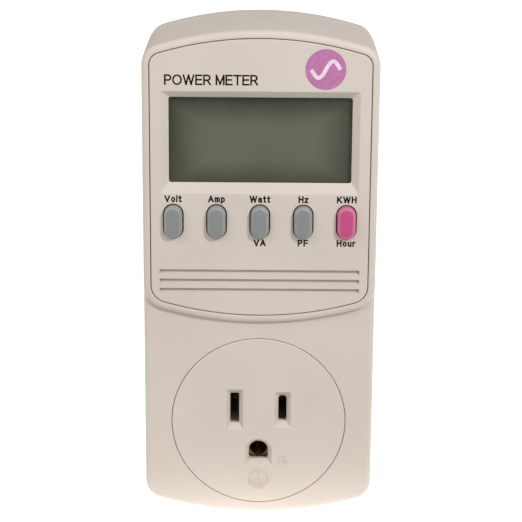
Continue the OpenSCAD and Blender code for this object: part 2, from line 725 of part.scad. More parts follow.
module ground_bar() color("#c9a24d") difference() {
    block(-bar_w / 2, bar_w / 2, y_bar, y_bar + bar_t, z_ground_tail - 2.2, z_ground_pin + bar_w / 2);
    peg(0, z_ground_pin, y_bar - over, y_bar + bar_t + over, shank_r + 0.02);
    bar(0, z_ground_tail + 0.1, tail_w + 0.04, contact_t + 0.04, y_bar - over, y_bar + bar_t + over);
}

// ---- Plug ----

module blade(x) color("#c8b07a") translate([x, 0, 0]) difference() {
    union() {
        slab_x(-blade_t / 2, blade_t / 2) polygon([
            [-blade_w / 2, y_floor], [blade_w / 2, y_floor], [blade_w / 2, blade_l - 1.6],
            [blade_w / 2 - 1.3, blade_l], [1.3 - blade_w / 2, blade_l], [-blade_w / 2, blade_l - 1.6]]);
        bar(0, 0, blade_t, blade_w + 2.4, y_floor - collar_t, y_floor);
        bar(0, 0, blade_t, blade_w - 1, y_clamp, y_floor - collar_t);
        bar(0, 0, blade_t, tab_w, y_power - tab_out, y_clamp);
    }
    translate([-over, blade_hole_at, 0]) rotate([0, 90, 0])
        cylinder(h = 2 * over, r = blade_hole_d / 2, $fn = round_fn);
}

// A flat shape given in Z and Y, from x0 to x1
module slab_x(x0, x1) translate([x1, 0, 0]) rotate([0, -90, 0]) linear_extrude(x1 - x0) children();

module ground_pin() color("#c8b07a") {
    nose = 2.2;
    tip_r = 1.3;
    translate([0, 0, z_ground_pin]) rotate([-90, 0, 0]) rotate_extrude($fn = round_fn) polygon([
        [0, y_bar - 0.6], [shank_r, y_bar - 0.6], [shank_r, y_floor - collar_t],
        [ground_neck_r + 1, y_floor - collar_t], [ground_neck_r + 1, y_floor],
        [ground_neck_r, y_floor], [ground_neck_r, 0], [ground_d / 2, 0],
        [ground_d / 2, ground_l - nose], [ground_d / 2 - 0.35, ground_l - nose / 2],
        [tip_r, ground_l - 0.3], [tip_r * 0.6, ground_l], [0, ground_l]]);
}

module prong_clamp() color("#e4ddd0") difference() {
    slab(y_clamp, y_clamp + clamp_t) translate([0, z_clamp]) polygon(rounded(33, 17, 2));
    for (x = [-1, 1]) bar(x * blade_pitch / 2, 0, blade_t + 2 * tab_fit, blade_w - 1 + 2 * tab_fit,
        y_clamp - over, y_clamp + clamp_t + over);
    peg(0, z_ground_pin, y_clamp - over, y_clamp + clamp_t + over, shank_r + shank_fit);
    for (x = [-clamp_screw_x, clamp_screw_x])
        peg(x, z_clamp, y_clamp - over, y_clamp + clamp_t + over, board_hole_r);
}

module clamp_screws() color("#9a9a96") for (x = [-clamp_screw_x, clamp_screw_x])
    small_screw([x, z_clamp], y_clamp, 1, clamp_t + collar_t + 0.7);

// ---- Power board ----

module power_board() color("#3f6b4a") difference() {
    block(-power_w / 2, power_w / 2, y_power, y_power_back, z_power_low, z_power_top);
    for (p = power_screw_places) peg(p[0], p[1], y_power - over, y_power_back + over, board_hole_r);
    for (x = [-1, 1]) {
        bar(x * blade_pitch / 2, 0, blade_t + 2 * tab_fit, tab_w + 2 * tab_fit, y_power - over,
            y_power_back + over);
        bar(x * contact_x, z_slots, contact_t + 2 * tail_fit, tail_w + 2 * tail_fit, y_power - over,
            y_power_back + over);
    }
    peg(0, z_ground_pin, y_power - over, y_power_back + over, shank_r + 0.6);
}

module power_board_screws() color("#9a9a96") for (p = power_screw_places) small_screw(p, y_power, 1);

module film_capacitor() color("#3b5aa0") slab(y_power - 10, y_power) translate([-15.5, z_parts - 6])
    polygon(rounded(12, 26, 1));

module varistor() color("#c9782f") {
    x = 16;
    z = z_parts + 12;
    translate([x, 0, 0]) slab_x(-2, 2) translate([z, y_power - 9.5]) circle(r = 6.5, $fn = round_fn);
    for (s = [-1, 1]) peg(x, z + s * 3.2, y_power - 5, y_power, 0.4);
}

// A can on its side, with its wires turned down to the board
module lying_can(x, z, r, l) {
    translate([x, y_power - r - 0.1, z - l / 2]) cylinder(h = l, r = r, $fn = round_fn);
    for (s = [-1, 1]) {
        translate([x + s * r / 2, y_power - r - 0.1, z - l / 2 - 1.6])
            cylinder(h = 2, r = 0.3, $fn = round_fn);
        peg(x + s * r / 2, z - l / 2 - 1.6, y_power - r - 0.1, y_power, 0.3);
    }
}

module smoothing_capacitor() color("#2b3a55") lying_can(18, z_parts - 11, 5, 16);

module output_capacitor() color("#2b3a55") union() {
    peg(-21, z_parts + 18, y_power - 11, y_power - 0.2, 2.5);
    for (s = [-1, 1]) peg(-21 + s, z_parts + 18, y_power - 1, y_power, 0.3);
}

module dropper_resistor() color("#7d93a6") {
    x = -15;
    z = z_parts + 16;
    translate([x, y_power - 3.4, z - 5.5]) cylinder(h = 11, r = 2.2, $fn = round_fn);
    translate([x, y_power - 3.4, z - 7.6]) cylinder(h = 15.2, r = 0.4, $fn = round_fn);
    for (s = [-1, 1]) peg(x, z + s * 7.2, y_power - 3.4, y_power, 0.4);
}

module bridge_rectifier() color("#2a2a2c") {
    bar(19, z_parts - 27, 6.4, 8, y_power - 3.4, y_power - 0.6);
    for (s = [-1, 1], t = [-1, 1]) bar(19 + s * 3.4, z_parts - 27 + t * 2.54, 0.8, 1.1, y_power - 2, y_power);
}

module regulator() color("#2a2a2c") {
    translate([-20, 0, z_parts + 28]) {
        slab(y_power - 8, y_power - 3) intersection() {
            circle(r = 2.4, $fn = round_fn);
            translate([-3, -1.4]) square([6, 5]);
        }
        for (i = [-1:1]) bar(i * 1.27, 0, 0.5, 0.5, y_power - 3.2, y_power);
    }
}

module current_shunt() color("#b87a4a") {
    x = 11.8;
    h = 14;
    z = z_ground_pin;
    bar(x, z, 2, h, y_power - 4.8, y_power - 4);
    for (s = [-1, 1]) bar(x, z + s * (h / 2 - 0.4), 2, 0.8, y_power - 4.8, y_power);
}

// An insulated lead that stands off the board between z1 and z0
module board_lead(x, z0, z1) {
    bend = 3.2;
    stand = 3.2;
    y_run = y_power - stand;
    r = lead_d / 2;
    for (z = [z0, z1]) peg(x, z, y_run + bend, y_power, r);
    translate([x, y_run, z0 + bend]) cylinder(h = z1 - z0 - 2 * bend, r = r, $fn = round_fn);
    for (end = [0, 1]) translate([x, y_run + bend, end ? z1 - bend : z0 + bend])
        rotate([end ? 180 : -90, 0, 0]) rotate([0, 90, 0]) rotate_extrude(angle = 90, $fn = round_fn)
            translate([bend, 0]) circle(r = r, $fn = round_fn);
}

module line_lead() color("#1f1f22") board_lead(contact_x + 1.2, z_slots + 5, z_ground_pin - 12);

module neutral_lead() color("#e9e6df") board_lead(-contact_x - 0.4, z_slots + 5, -5.5);

front_housing();
rear_cover();
front_panel();
housing_screws();
rating_label();
display_lens();
lcd_cell();
lcd_reflector();
lcd_frame();
contact_strip(1);  // upper_contact_strip
contact_strip(-1);  // lower_contact_strip
display_board();
display_board_screws();
metering_chip();
amplifier_chip();
crystal();
display_header();
ribbon_cable();
power_header();
for (i = [0:len(KEYS) - 1]) {
    key(i);
    stem(i);
    push_switch(i);
}
socket_insert();
contact_carrier();
carrier_screws();
blade_contact(contact_x);  // line_contact
blade_contact(-contact_x);  // neutral_contact
ground_contact();
ground_bar();
power_board();
power_board_screws();
film_capacitor();
varistor();
smoothing_capacitor();
output_capacitor();
dropper_resistor();
bridge_rectifier();
regulator();
current_shunt();
line_lead();
neutral_lead();
blade(blade_pitch / 2);  // line_blade
blade(-blade_pitch / 2);  // neutral_blade
ground_pin();
prong_clamp();
clamp_screws();
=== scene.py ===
"""Looks of a plug-in power meter: shells, display, keys, outlet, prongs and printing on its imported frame."""
import json
import math

import bmesh
import bpy
from mathutils import Matrix, Vector


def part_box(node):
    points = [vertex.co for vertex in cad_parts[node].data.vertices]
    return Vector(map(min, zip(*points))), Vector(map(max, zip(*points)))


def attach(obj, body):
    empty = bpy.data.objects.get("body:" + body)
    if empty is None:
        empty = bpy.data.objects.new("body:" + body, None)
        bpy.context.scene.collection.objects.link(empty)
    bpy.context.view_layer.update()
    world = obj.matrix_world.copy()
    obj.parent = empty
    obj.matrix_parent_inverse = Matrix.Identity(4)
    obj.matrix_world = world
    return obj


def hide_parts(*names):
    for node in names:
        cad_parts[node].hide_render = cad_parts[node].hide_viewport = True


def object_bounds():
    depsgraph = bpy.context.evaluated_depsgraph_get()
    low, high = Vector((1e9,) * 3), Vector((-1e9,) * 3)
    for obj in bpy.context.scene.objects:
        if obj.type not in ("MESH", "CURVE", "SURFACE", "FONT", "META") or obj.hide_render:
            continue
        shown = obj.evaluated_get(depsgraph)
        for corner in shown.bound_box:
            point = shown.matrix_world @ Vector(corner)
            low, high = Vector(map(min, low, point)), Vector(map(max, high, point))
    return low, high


bl_info = {
    "name": "Plug-in power meter",
    "version": (1, 0, 0),
    "blender": (4, 5, 0),
    "location": "View3D > Sidebar > Meter",
    "description": "Makes the finished pieces of a plug-in power meter on its packed frame",
    "category": "Object",
}

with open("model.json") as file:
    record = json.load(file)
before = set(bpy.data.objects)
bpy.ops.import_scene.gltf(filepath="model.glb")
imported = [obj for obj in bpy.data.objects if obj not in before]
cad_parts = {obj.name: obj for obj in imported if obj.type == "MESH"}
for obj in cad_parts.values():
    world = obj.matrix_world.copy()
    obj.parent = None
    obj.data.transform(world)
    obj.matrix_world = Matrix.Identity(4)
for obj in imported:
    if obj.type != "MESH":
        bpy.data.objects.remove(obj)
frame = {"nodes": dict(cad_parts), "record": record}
CAD_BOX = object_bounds()

MM = 1000.0  # pieces are shaped in millimetres and settled in metres
OVER = 1.0  # how far a cutter reaches past the face that it opens
LEAD = 0.12  # depth of the broken edge at the mouth of a bevel

# Sizes that the frame holds but that no node's box gives, in millimetres
FRONT_WALL = 2.5
DRAFT = 0.4
COVER_TAPER = 0.15
PART_INSET, PART_DEPTH = 0.22, 0.3  # chamfer of both shells where they meet
WINDOW_CUTOUT = (50.2, 25.8)
KEY_SIZE = (4.68, 8.55)
PANEL_KEY_HOLE = (5.3, 9.15)
HOUSING_KEY_HOLE = (5.25, 9.1)
GROOVES_DROP = 65.0  # from the top to the middle groove
FLANGE_W, FLANGE_RISE = 43.8, 24.9
PLATE_T = 3.0
CHAMBER_OUTSIDE, CHAMBER_INSIDE = (7.6, 11.8), (5.2, 9.4)
GROUND_CHAMBER_OUTSIDE_R, GROUND_CHAMBER_INSIDE_R = 4.9, 3.7
GROUND_DROP = 11.86  # from the blades down to the ground pin or hole
BOSS_R = 3.5
HEAD_R, HEAD_T, SHANK_R = 2.7, 2.0, 1.5
POCKET_R, POCKET_DEPTH, SCREW_HOLE_R = 3.0, 5.2, 1.7
BLADE_HOLE, PIN_HOLE_R = (1.72, 6.55), 2.68
INK_T = 0.012


def low(node):
    """Lowest corner of a CAD node, in millimetres."""
    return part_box(node)[0] * MM


def high(node):
    """Highest corner of a CAD node, in millimetres."""
    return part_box(node)[1] * MM


def middle(node):
    """Middle of a CAD node's box, in millimetres."""
    return (low(node) + high(node)) / 2


def span(node):
    """Size of a CAD node's box, in millimetres."""
    return high(node) - low(node)


# Heights and depths that several pieces share, read from the frame
Y_RAISED = low("front_housing")[1]
Y_PART = high("front_housing")[1]
Y_FACE = low("socket_insert")[1]
Y_INSIDE = Y_FACE + FRONT_WALL
Y_POCKET = high("front_panel")[1]
Y_LENS = low("display_lens")[1]
Z_TOP = high("front_housing")[2] - DRAFT
Z_BOTTOM = low("front_housing")[2] + DRAFT
Z_PANEL_LOW = low("front_panel")[2]
Z_WINDOW = middle("display_lens")[2]
Z_KEYS = middle("watt_key")[2]
Z_SOCKET = high("socket_insert")[2] - FLANGE_RISE
Z_SLOTS = middle("line_contact")[2]
Z_GROUND_HOLE = Z_SLOTS - GROUND_DROP
Z_GROUND_PIN = middle("ground_pin")[2]
KEYS = ("volt", "amp", "watt", "hertz", "energy")


# ---- Outlines, as points in X and Z, counterclockwise seen from the front ----

def arc(cx, cz, r, a0, a1, steps, first=0, last=0):
    """Points of an arc in degrees, leaving out some at either end."""
    points = []
    for i in range(first, steps + 1 - last):
        a = math.radians(a0 + (a1 - a0) * i / steps)
        points.append((cx + r * math.cos(a), cz + r * math.sin(a)))
    return points


def arched_end(width, apex, end_r, corner_r, side):
    """An arched end between its two corners, the upper one when side is 1."""
    xc = width / 2 - corner_r
    rise = math.sqrt((end_r - corner_r) ** 2 - xc * xc)
    a = math.degrees(math.atan2(rise, xc))
    z_end = apex - side * end_r
    z_corner = z_end + side * rise
    turn = 0 if side > 0 else 180
    return (arc(side * xc, z_corner, corner_r, turn, turn + a, 16)
            + arc(0, z_end, end_r, turn + a, turn + 180 - a, 48, 1, 1)
            + arc(-side * xc, z_corner, corner_r, turn + 180 - a, turn + 180, 16))


def body_outline(sizes, g):
    """The housing's outline, g inside its front edge."""
    width = sizes.width - 2 * g
    return (arched_end(width, Z_TOP - g, sizes.end_r - g, sizes.corner_r - g, 1)
            + arched_end(width, Z_BOTTOM + g, sizes.end_r - g, sizes.corner_r - g, -1))


def raised_outline(sizes, g):
    """The raised display area's outline, g inside its edge."""
    width = sizes.width - 2 * g
    low_r = sizes.panel_low_r + sizes.bead - g
    return (arched_end(width, Z_TOP - g, sizes.end_r - g, sizes.corner_r - g, 1)
            + arched_end(width, Z_PANEL_LOW - sizes.bead + g, sizes.panel_end_r + sizes.bead - g, low_r, -1))


def panel_outline(sizes, g):
    """The fascia panel's outline, g inside the seam."""
    width = sizes.width - 2 * (sizes.rim + g)
    top = Z_TOP - sizes.rim - g
    return (arched_end(width, top, sizes.end_r - sizes.rim - g, sizes.panel_top_r - g, 1)
            + arched_end(width, Z_PANEL_LOW + g, sizes.panel_end_r - g, sizes.panel_low_r - g, -1))


def obround(width, height, steps=24):
    """An upright slot with round ends about the origin."""
    r = width / 2
    dz = height / 2 - r
    return arc(0, dz, r, 0, 180, steps) + arc(0, -dz, r, 180, 360, steps)


def rounded(width, height, r_top, r_low=None, steps=6):
    """A rectangle with rounded corners about the origin."""
    r_low = r_top if r_low is None else r_low
    x = width / 2
    z = height / 2
    return (arc(x - r_top, z - r_top, r_top, 0, 90, steps)
            + arc(r_top - x, z - r_top, r_top, 90, 180, steps)
            + arc(r_low - x, r_low - z, r_low, 180, 270, steps)
            + arc(x - r_low, r_low - z, r_low, 270, 360, steps))


def ground_shape(r, corner=0.15):
    """A hole with a round top and a flat bottom about the origin."""
    return (arc(0, 0, r, 0, 180, 32)
            + arc(corner - r, corner - r, corner, 180, 270, 4)
            + arc(r - corner, corner - r, corner, 270, 360, 4))


def ring(r, steps=128):
    """A circle about the origin."""
    return arc(0, 0, r, 0, 360, steps, 0, 1)


def moved(points, x, z):
    """The same outline about another middle."""
    return [(px + x, pz + z) for px, pz in points]


# ---- Solids ----

def loft(rings, bm=None):
    """A closed solid through rings of (y, outline), from the front one to the back one."""
    bm = bm or bmesh.new()
    rows = [[bm.verts.new((x, y, z)) for x, z in outline] for y, outline in rings]
    count = len(rows[0])
    bm.faces.new(rows[0])
    bm.faces.new(rows[-1][::-1])
    for front, back in zip(rows, rows[1:]):
        for j in range(count):
            k = (j + 1) % count
            bm.faces.new((front[j], back[j], back[k], front[k]))
    return bm


def rounded_front(outline, y, r, g0=0.0, steps=8):
    """Rings of a front edge rounded to radius r, from the face back to the wall."""
    rings = []
    for i in range(steps + 1):
        a = math.pi / 2 * (1 - i / steps)
        rings.append((y + r * (1 - math.sin(a)), outline(g0 + r * (1 - math.cos(a)))))
    return rings


def flared(outline, y_face, y_end, r, steps=5):
    """Rings of a cutter whose mouth at y_face is rounded to radius r, and that ends at y_end."""
    rings = [(y_face - OVER, outline(-r))]
    for i in range(steps + 1):
        a = math.pi / 2 * i / steps
        rings.append((y_face + r * (1 - math.cos(a)), outline(r * (math.sin(a) - 1))))
    rings.append((y_end, outline(0)))
    return rings


def slab(y0, y1, outline, bm=None):
    """A flat shape from y0 to y1."""
    return loft([(y0, outline), (y1, outline)], bm)


def bevelled(y, wide, mouth, y_root, root):
    """A cutter that narrows from its mouth at y to its root, with the mouth's own edge broken."""
    return loft([(y - OVER, wide), (y, wide), (y + LEAD, mouth), (y_root, root)])


def lathe(profile, x, z, steps=96):
    """A solid turned about a line along Y through x and z, from its (r, y) profile."""
    return loft([(y, moved(ring(r, steps), x, z)) for r, y in profile])


def as_solid(name, bm):
    """A working object from mesh code."""
    bmesh.ops.recalc_face_normals(bm, faces=bm.faces)
    mesh = bpy.data.meshes.new(name)
    bm.to_mesh(mesh)
    bm.free()
    thing = bpy.data.objects.new(name, mesh)
    bpy.context.scene.collection.objects.link(thing)
    return thing


def baked(thing):
    """Turns an object with modifiers into a plain mesh."""
    depsgraph = bpy.context.evaluated_depsgraph_get()
    mesh = bpy.data.meshes.new_from_object(thing.evaluated_get(depsgraph))
    if thing.type == "MESH":
        thing.modifiers.clear()
        thing.data = mesh
        return thing
    plain = bpy.data.objects.new(thing.name + "_mesh", mesh)
    bpy.context.scene.collection.objects.link(plain)
    bpy.data.objects.remove(thing)
    return plain


def combine(thing, tools, operation="DIFFERENCE"):
    """Cuts or adds the tools, which are mesh code or objects, one after another."""
    objects = [tool if isinstance(tool, bpy.types.Object) else as_solid("tool", tool) for tool in tools]
    for tool in objects:
        step = thing.modifiers.new("step", "BOOLEAN")
        step.operation = operation
        step.solver = "MANIFOLD"
        step.object = tool
    baked(thing)
    for tool in objects:
        bpy.data.objects.remove(tool)
    if not thing.data.polygons:
        raise RuntimeError(f"{thing.name}: nothing is left after the cut")
    return thing


def settle(thing, finish, body="meter", stands_for=(), sharp=32.0, edge=0.0, flat=True):
    """Finishes a piece shaped in millimetres: clean faces, soft shading, place, material and body."""
    bm = bmesh.new()
    bm.from_mesh(thing.data)
    bmesh.ops.remove_doubles(bm, verts=bm.verts, dist=0.0005)
    if flat:
        bmesh.ops.dissolve_limit(bm, angle_limit=math.radians(0.05), verts=bm.verts, edges=bm.edges,
                                 delimit={"NORMAL"})
    if edge:
        corners = [e for e in bm.edges if len(e.link_faces) == 2
                   and e.calc_face_angle() > math.radians(sharp)]
        bmesh.ops.bevel(bm, geom=corners, offset=edge, segments=2, profile=0.6, affect="EDGES")
    bm.to_mesh(thing.data)
    bm.free()
    thing.data.transform(Matrix.Scale(1 / MM, 4))
    for face in thing.data.polygons:
        face.use_smooth = True
    thing.data.set_sharp_from_angle(angle=math.radians(sharp))
    soften = thing.modifiers.new("even_shading", "WEIGHTED_NORMAL")
    soften.keep_sharp = True
    soften.weight = 100
    baked(thing)
    thing.data.materials.clear()
    thing.data.materials.append(finish)
    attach(thing, body)
    if stands_for:
        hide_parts(*stands_for)
    return thing


# ---- Finishes ----

def add_node(tree, kind, **values):
    """A node with its inputs set by name, where spaces are written as underscores."""
    made = tree.nodes.new(kind)
    for name, value in values.items():
        made.inputs[name.replace("_", " ")].default_value = value
    return made


def blank_finish(name):
    """A new material: its tree, its shader and its Object coordinates."""
    made = bpy.data.materials.new(name)
    made.use_nodes = True
    tree = made.node_tree
    tree.nodes.clear()
    shader = tree.nodes.new("ShaderNodeBsdfPrincipled")
    output = tree.nodes.new("ShaderNodeOutputMaterial")
    tree.links.new(shader.outputs["BSDF"], output.inputs["Surface"])
    place = tree.nodes.new("ShaderNodeTexCoord").outputs["Object"]
    return made, tree, shader, place


def noise(tree, place, size, detail=3.0, stretch=None):
    """Noise whose features are about size metres across."""
    if stretch:
        turn = add_node(tree, "ShaderNodeMapping", Scale=stretch)
        tree.links.new(place, turn.inputs["Vector"])
        place = turn.outputs["Vector"]
    made = add_node(tree, "ShaderNodeTexNoise", Scale=1 / size, Detail=detail)
    tree.links.new(place, made.inputs["Vector"])
    return made.outputs["Fac"]


def spread(tree, value, from_low, from_high, to_low=0.0, to_high=1.0, smooth=False):
    """A value mapped from one range to another."""
    made = add_node(tree, "ShaderNodeMapRange", From_Min=from_low, From_Max=from_high,
                    To_Min=to_low, To_Max=to_high)
    if smooth:
        made.interpolation_type = "SMOOTHSTEP"
    tree.links.new(value, made.inputs["Value"])
    return made.outputs["Result"]


def sums(tree, kind, a, b=None):
    """One maths step on two values or numbers."""
    made = tree.nodes.new("ShaderNodeMath")
    made.operation = kind
    for i, value in enumerate((a, b)):
        if isinstance(value, (int, float)):
            made.inputs[i].default_value = value
        elif value is not None:
            tree.links.new(value, made.inputs[i])
    return made.outputs[0]


def tint(colour, gain):
    """A colour made lighter or darker, with its alpha."""
    return (min(colour[0] * gain, 1), min(colour[1] * gain, 1), min(colour[2] * gain, 1), 1)


def mixed(tree, share, a, b):
    """A colour between a and b, which are colours or sockets."""
    made = tree.nodes.new("ShaderNodeMix")
    made.data_type = "RGBA"
    tree.links.new(share, made.inputs[0])
    for i, value in ((6, a), (7, b)):
        if isinstance(value, bpy.types.NodeSocket):
            tree.links.new(value, made.inputs[i])
        else:
            made.inputs[i].default_value = value
    return made.outputs[2]


def relief(tree, shader, height, depth, strength=1.0):
    """Fine relief, depth metres from low to high."""
    made = add_node(tree, "ShaderNodeBump", Strength=strength, Distance=depth)
    tree.links.new(height, made.inputs["Height"])
    tree.links.new(made.outputs["Normal"], shader.inputs["Normal"])


def moulded(name, colour, rough=0.5, grain=0.0004, depth=0.000006, mottle=0.03, specks=0.0):
    """Moulded plastic: fine spark-eroded grain, slow colour drift and, on the shells, a little dust."""
    made, tree, shader, place = blank_finish(name)
    drift = noise(tree, place, 0.03, 2.0)
    shade = mixed(tree, spread(tree, drift, 0.3, 0.7), tint(colour, 1 - mottle), tint(colour, 1 + mottle))
    if specks:
        dots = add_node(tree, "ShaderNodeTexVoronoi", Scale=1 / 0.016)
        tree.links.new(place, dots.inputs["Vector"])
        dot = spread(tree, dots.outputs["Distance"], 0.012, 0.02, specks, 0.0)
        shade = mixed(tree, dot, shade, tint(colour, 0.25))
    tree.links.new(shade, shader.inputs["Base Color"])
    wear = noise(tree, place, 0.006, 4.0)
    tree.links.new(spread(tree, wear, 0.3, 0.7, rough - 0.05, rough + 0.05), shader.inputs["Roughness"])
    shader.inputs["Specular IOR Level"].default_value = 0.35
    relief(tree, shader, noise(tree, place, grain, 2.0), depth)
    return made


def metal(name, colour, rough=0.3, stretch=(1.0, 8.0, 1.0)):
    """Drawn or stamped metal with fine lines and slightly uneven tone."""
    made, tree, shader, place = blank_finish(name)
    lines = noise(tree, place, 0.0006, 4.0, stretch)
    stain = noise(tree, place, 0.005, 3.0)
    tone = mixed(tree, spread(tree, stain, 0.3, 0.7), tint(colour, 0.9), tint(colour, 1.05))
    tree.links.new(tone, shader.inputs["Base Color"])
    tree.links.new(spread(tree, lines, 0.3, 0.7, rough - 0.06, rough + 0.08), shader.inputs["Roughness"])
    shader.inputs["Metallic"].default_value = 1.0
    relief(tree, shader, lines, 0.000004)
    return made


def key_finish(name, centre, rim):
    """Satin key plastic, with a painted highlight making it paler round its shoulders, and random paler
    patches.
    """
    made, tree, shader, place = blank_finish(name)
    facing = tree.nodes.new("ShaderNodeSeparateXYZ")
    tree.links.new(tree.nodes.new("ShaderNodeNewGeometry").outputs["Normal"], facing.inputs["Vector"])
    # painted highlight: this mask is 1 where the key's face turns away from the front, on its shoulders, and
    # takes the paler rim colour there
    front = spread(tree, facing.outputs["Y"], -0.999, -0.9, 0.0, 1.0, True)
    uneven = spread(tree, noise(tree, place, 0.0012, 3.0), 0.3, 0.7, 0.0, 0.25)
    share = sums(tree, "MAXIMUM", front, uneven)
    tree.links.new(mixed(tree, share, (*centre, 1), (*rim, 1)), shader.inputs["Base Color"])
    shader.inputs["Roughness"].default_value = 0.42
    shader.inputs["Specular IOR Level"].default_value = 0.4
    relief(tree, shader, noise(tree, place, 0.0003, 2.0), 0.000004)
    return made


def display_finish(name, colours):
    """Liquid crystal cell: paler in the middle, with painted shade darkening it towards the edges under the
    window's rim, most at the top, and a brown edge strip below.
    """
    made, tree, shader, place = blank_finish(name)
    axes = tree.nodes.new("ShaderNodeSeparateXYZ")
    tree.links.new(place, axes.inputs["Vector"])
    side = sums(tree, "ABSOLUTE", axes.outputs["X"])
    up = sums(tree, "SUBTRACT", axes.outputs["Z"], Z_WINDOW / MM)
    # painted shade: the cell darkens towards its sides, top and bottom, where the window's rim shades it
    side_shade = spread(tree, side, 0.012, 0.0235, 0.0, 0.75, True)
    top_shade = spread(tree, up, 0.002, 0.0112, 0.0, 0.9, True)
    low_shade = spread(tree, up, -0.004, -0.011, 0.0, 0.6, True)
    edge_shade = sums(tree, "MAXIMUM", sums(tree, "MAXIMUM", side_shade, top_shade), low_shade)
    cloud = spread(tree, noise(tree, place, 0.012, 2.0), 0.3, 0.7, -0.08, 0.08)
    shade = mixed(tree, sums(tree, "ADD", edge_shade, cloud), (*colours.display, 1), (*colours.display_edge_shade, 1))
    strip = spread(tree, up, -0.0101, -0.0104, 0.0, 1.0, True)
    shade = mixed(tree, strip, shade, (*colours.display_strip, 1))
    tree.links.new(shade, shader.inputs["Base Color"])
    shader.inputs["Roughness"].default_value = 0.35
    return made


def clear_finish(name, colour):
    """A clear polished window with the faintest haze."""
    made, tree, shader, place = blank_finish(name)
    haze = noise(tree, place, 0.008, 2.0)
    shade = mixed(tree, spread(tree, haze, 0.3, 0.7), tint(colour, 0.9), tint(colour, 1.1))
    tree.links.new(shade, shader.inputs["Base Color"])
    shader.inputs["Roughness"].default_value = 0.04
    shader.inputs["Alpha"].default_value = 0.22
    shader.inputs["IOR"].default_value = 1.49
    return made


def board_finish(name, colour):
    """Solder resist with darker ground between its tracks."""
    made, tree, shader, place = blank_finish(name)
    tracks = add_node(tree, "ShaderNodeTexBrick", Scale=160.0, Mortar_Size=0.06, Mortar_Smooth=0.2)
    tree.links.new(place, tracks.inputs["Vector"])
    shade = mixed(tree, tracks.outputs["Fac"], tint(colour, 1.0), tint(colour, 0.6))
    tree.links.new(shade, shader.inputs["Base Color"])
    shader.inputs["Roughness"].default_value = 0.35
    relief(tree, shader, tracks.outputs["Fac"], 0.00002)
    return made


def ink_finish(name, colour, rough=0.45):
    """Screen-printed ink with slightly uneven cover."""
    made, tree, shader, place = blank_finish(name)
    cover = noise(tree, place, 0.0005, 3.0)
    shade = mixed(tree, spread(tree, cover, 0.3, 0.7), tint(colour, 0.9), tint(colour, 1.1))
    tree.links.new(shade, shader.inputs["Base Color"])
    shader.inputs["Roughness"].default_value = rough
    shader.inputs["Specular IOR Level"].default_value = 0.15
    return made


def banded_finish(name, colour, crest_colour):
    """Ribbon cable, with one ridge for each conductor, its colour darker in the valleys between ridges and
    paler on their crests.
    """
    made, tree, shader, place = blank_finish(name)
    axes = tree.nodes.new("ShaderNodeSeparateXYZ")
    tree.links.new(place, axes.inputs["Vector"])
    wave = sums(tree, "SINE", sums(tree, "MULTIPLY", axes.outputs["X"], 2 * math.pi / 0.00127))
    ridge = spread(tree, wave, -1.0, 1.0)
    tree.links.new(mixed(tree, ridge, tint(colour, 0.8), tint(crest_colour, 1.0)), shader.inputs["Base Color"])
    shader.inputs["Roughness"].default_value = 0.4
    relief(tree, shader, ridge, 0.0002)
    return made


_finishes = {}


def finish_for(slot):
    """The finish of one of the record's material slots, made once."""
    if slot not in _finishes:
        colours = bpy.context.scene.meter_colours
        shown = {m["slot"]: tuple(m["base_color"][:3]) for m in frame["record"]["materials"]}
        colour = shown[slot]
        if slot == "housing":
            made = moulded("housing_plastic", colours.housing, specks=0.5)
        elif slot == "panel":
            made = moulded("panel_plastic", colours.panel, specks=0.35)
        elif slot == "grey_button":
            made = key_finish("grey_key_plastic", colours.key, colours.key_shoulder_highlight)
        elif slot == "energy_button":
            made = key_finish("energy_key_plastic", colours.energy_key, colours.energy_key_shoulder_highlight)
        elif slot == "lcd":
            made = display_finish("display_cell", colours)
        elif slot == "lens":
            made = clear_finish("display_lens_clear", colours.lens)
        elif slot == "board":
            made = board_finish("board_resist", colour)
        elif slot == "ribbon":
            made = banded_finish("ribbon_insulation", colour, (0.6, 0.6, 0.62))
        elif slot in ("screw_steel", "can_metal", "reflector"):
            made = metal(slot + "_finish", colour, 0.34)
        elif slot == "contact_brass":
            made = metal(slot + "_finish", (0.42, 0.27, 0.11), 0.5)
        elif slot in ("blade_brass", "shunt_metal"):
            made = metal(slot + "_finish", colour, 0.26)
        elif slot in ("varistor_coat", "can_sleeve", "blue_plastic"):
            made = moulded(slot + "_finish", colour, 0.25, 0.002, 0.00001)
        else:
            made = moulded(slot + "_finish", colour, 0.45)
        _finishes[slot] = made
    return _finishes[slot]


# ---- Node trees for what repeats ----

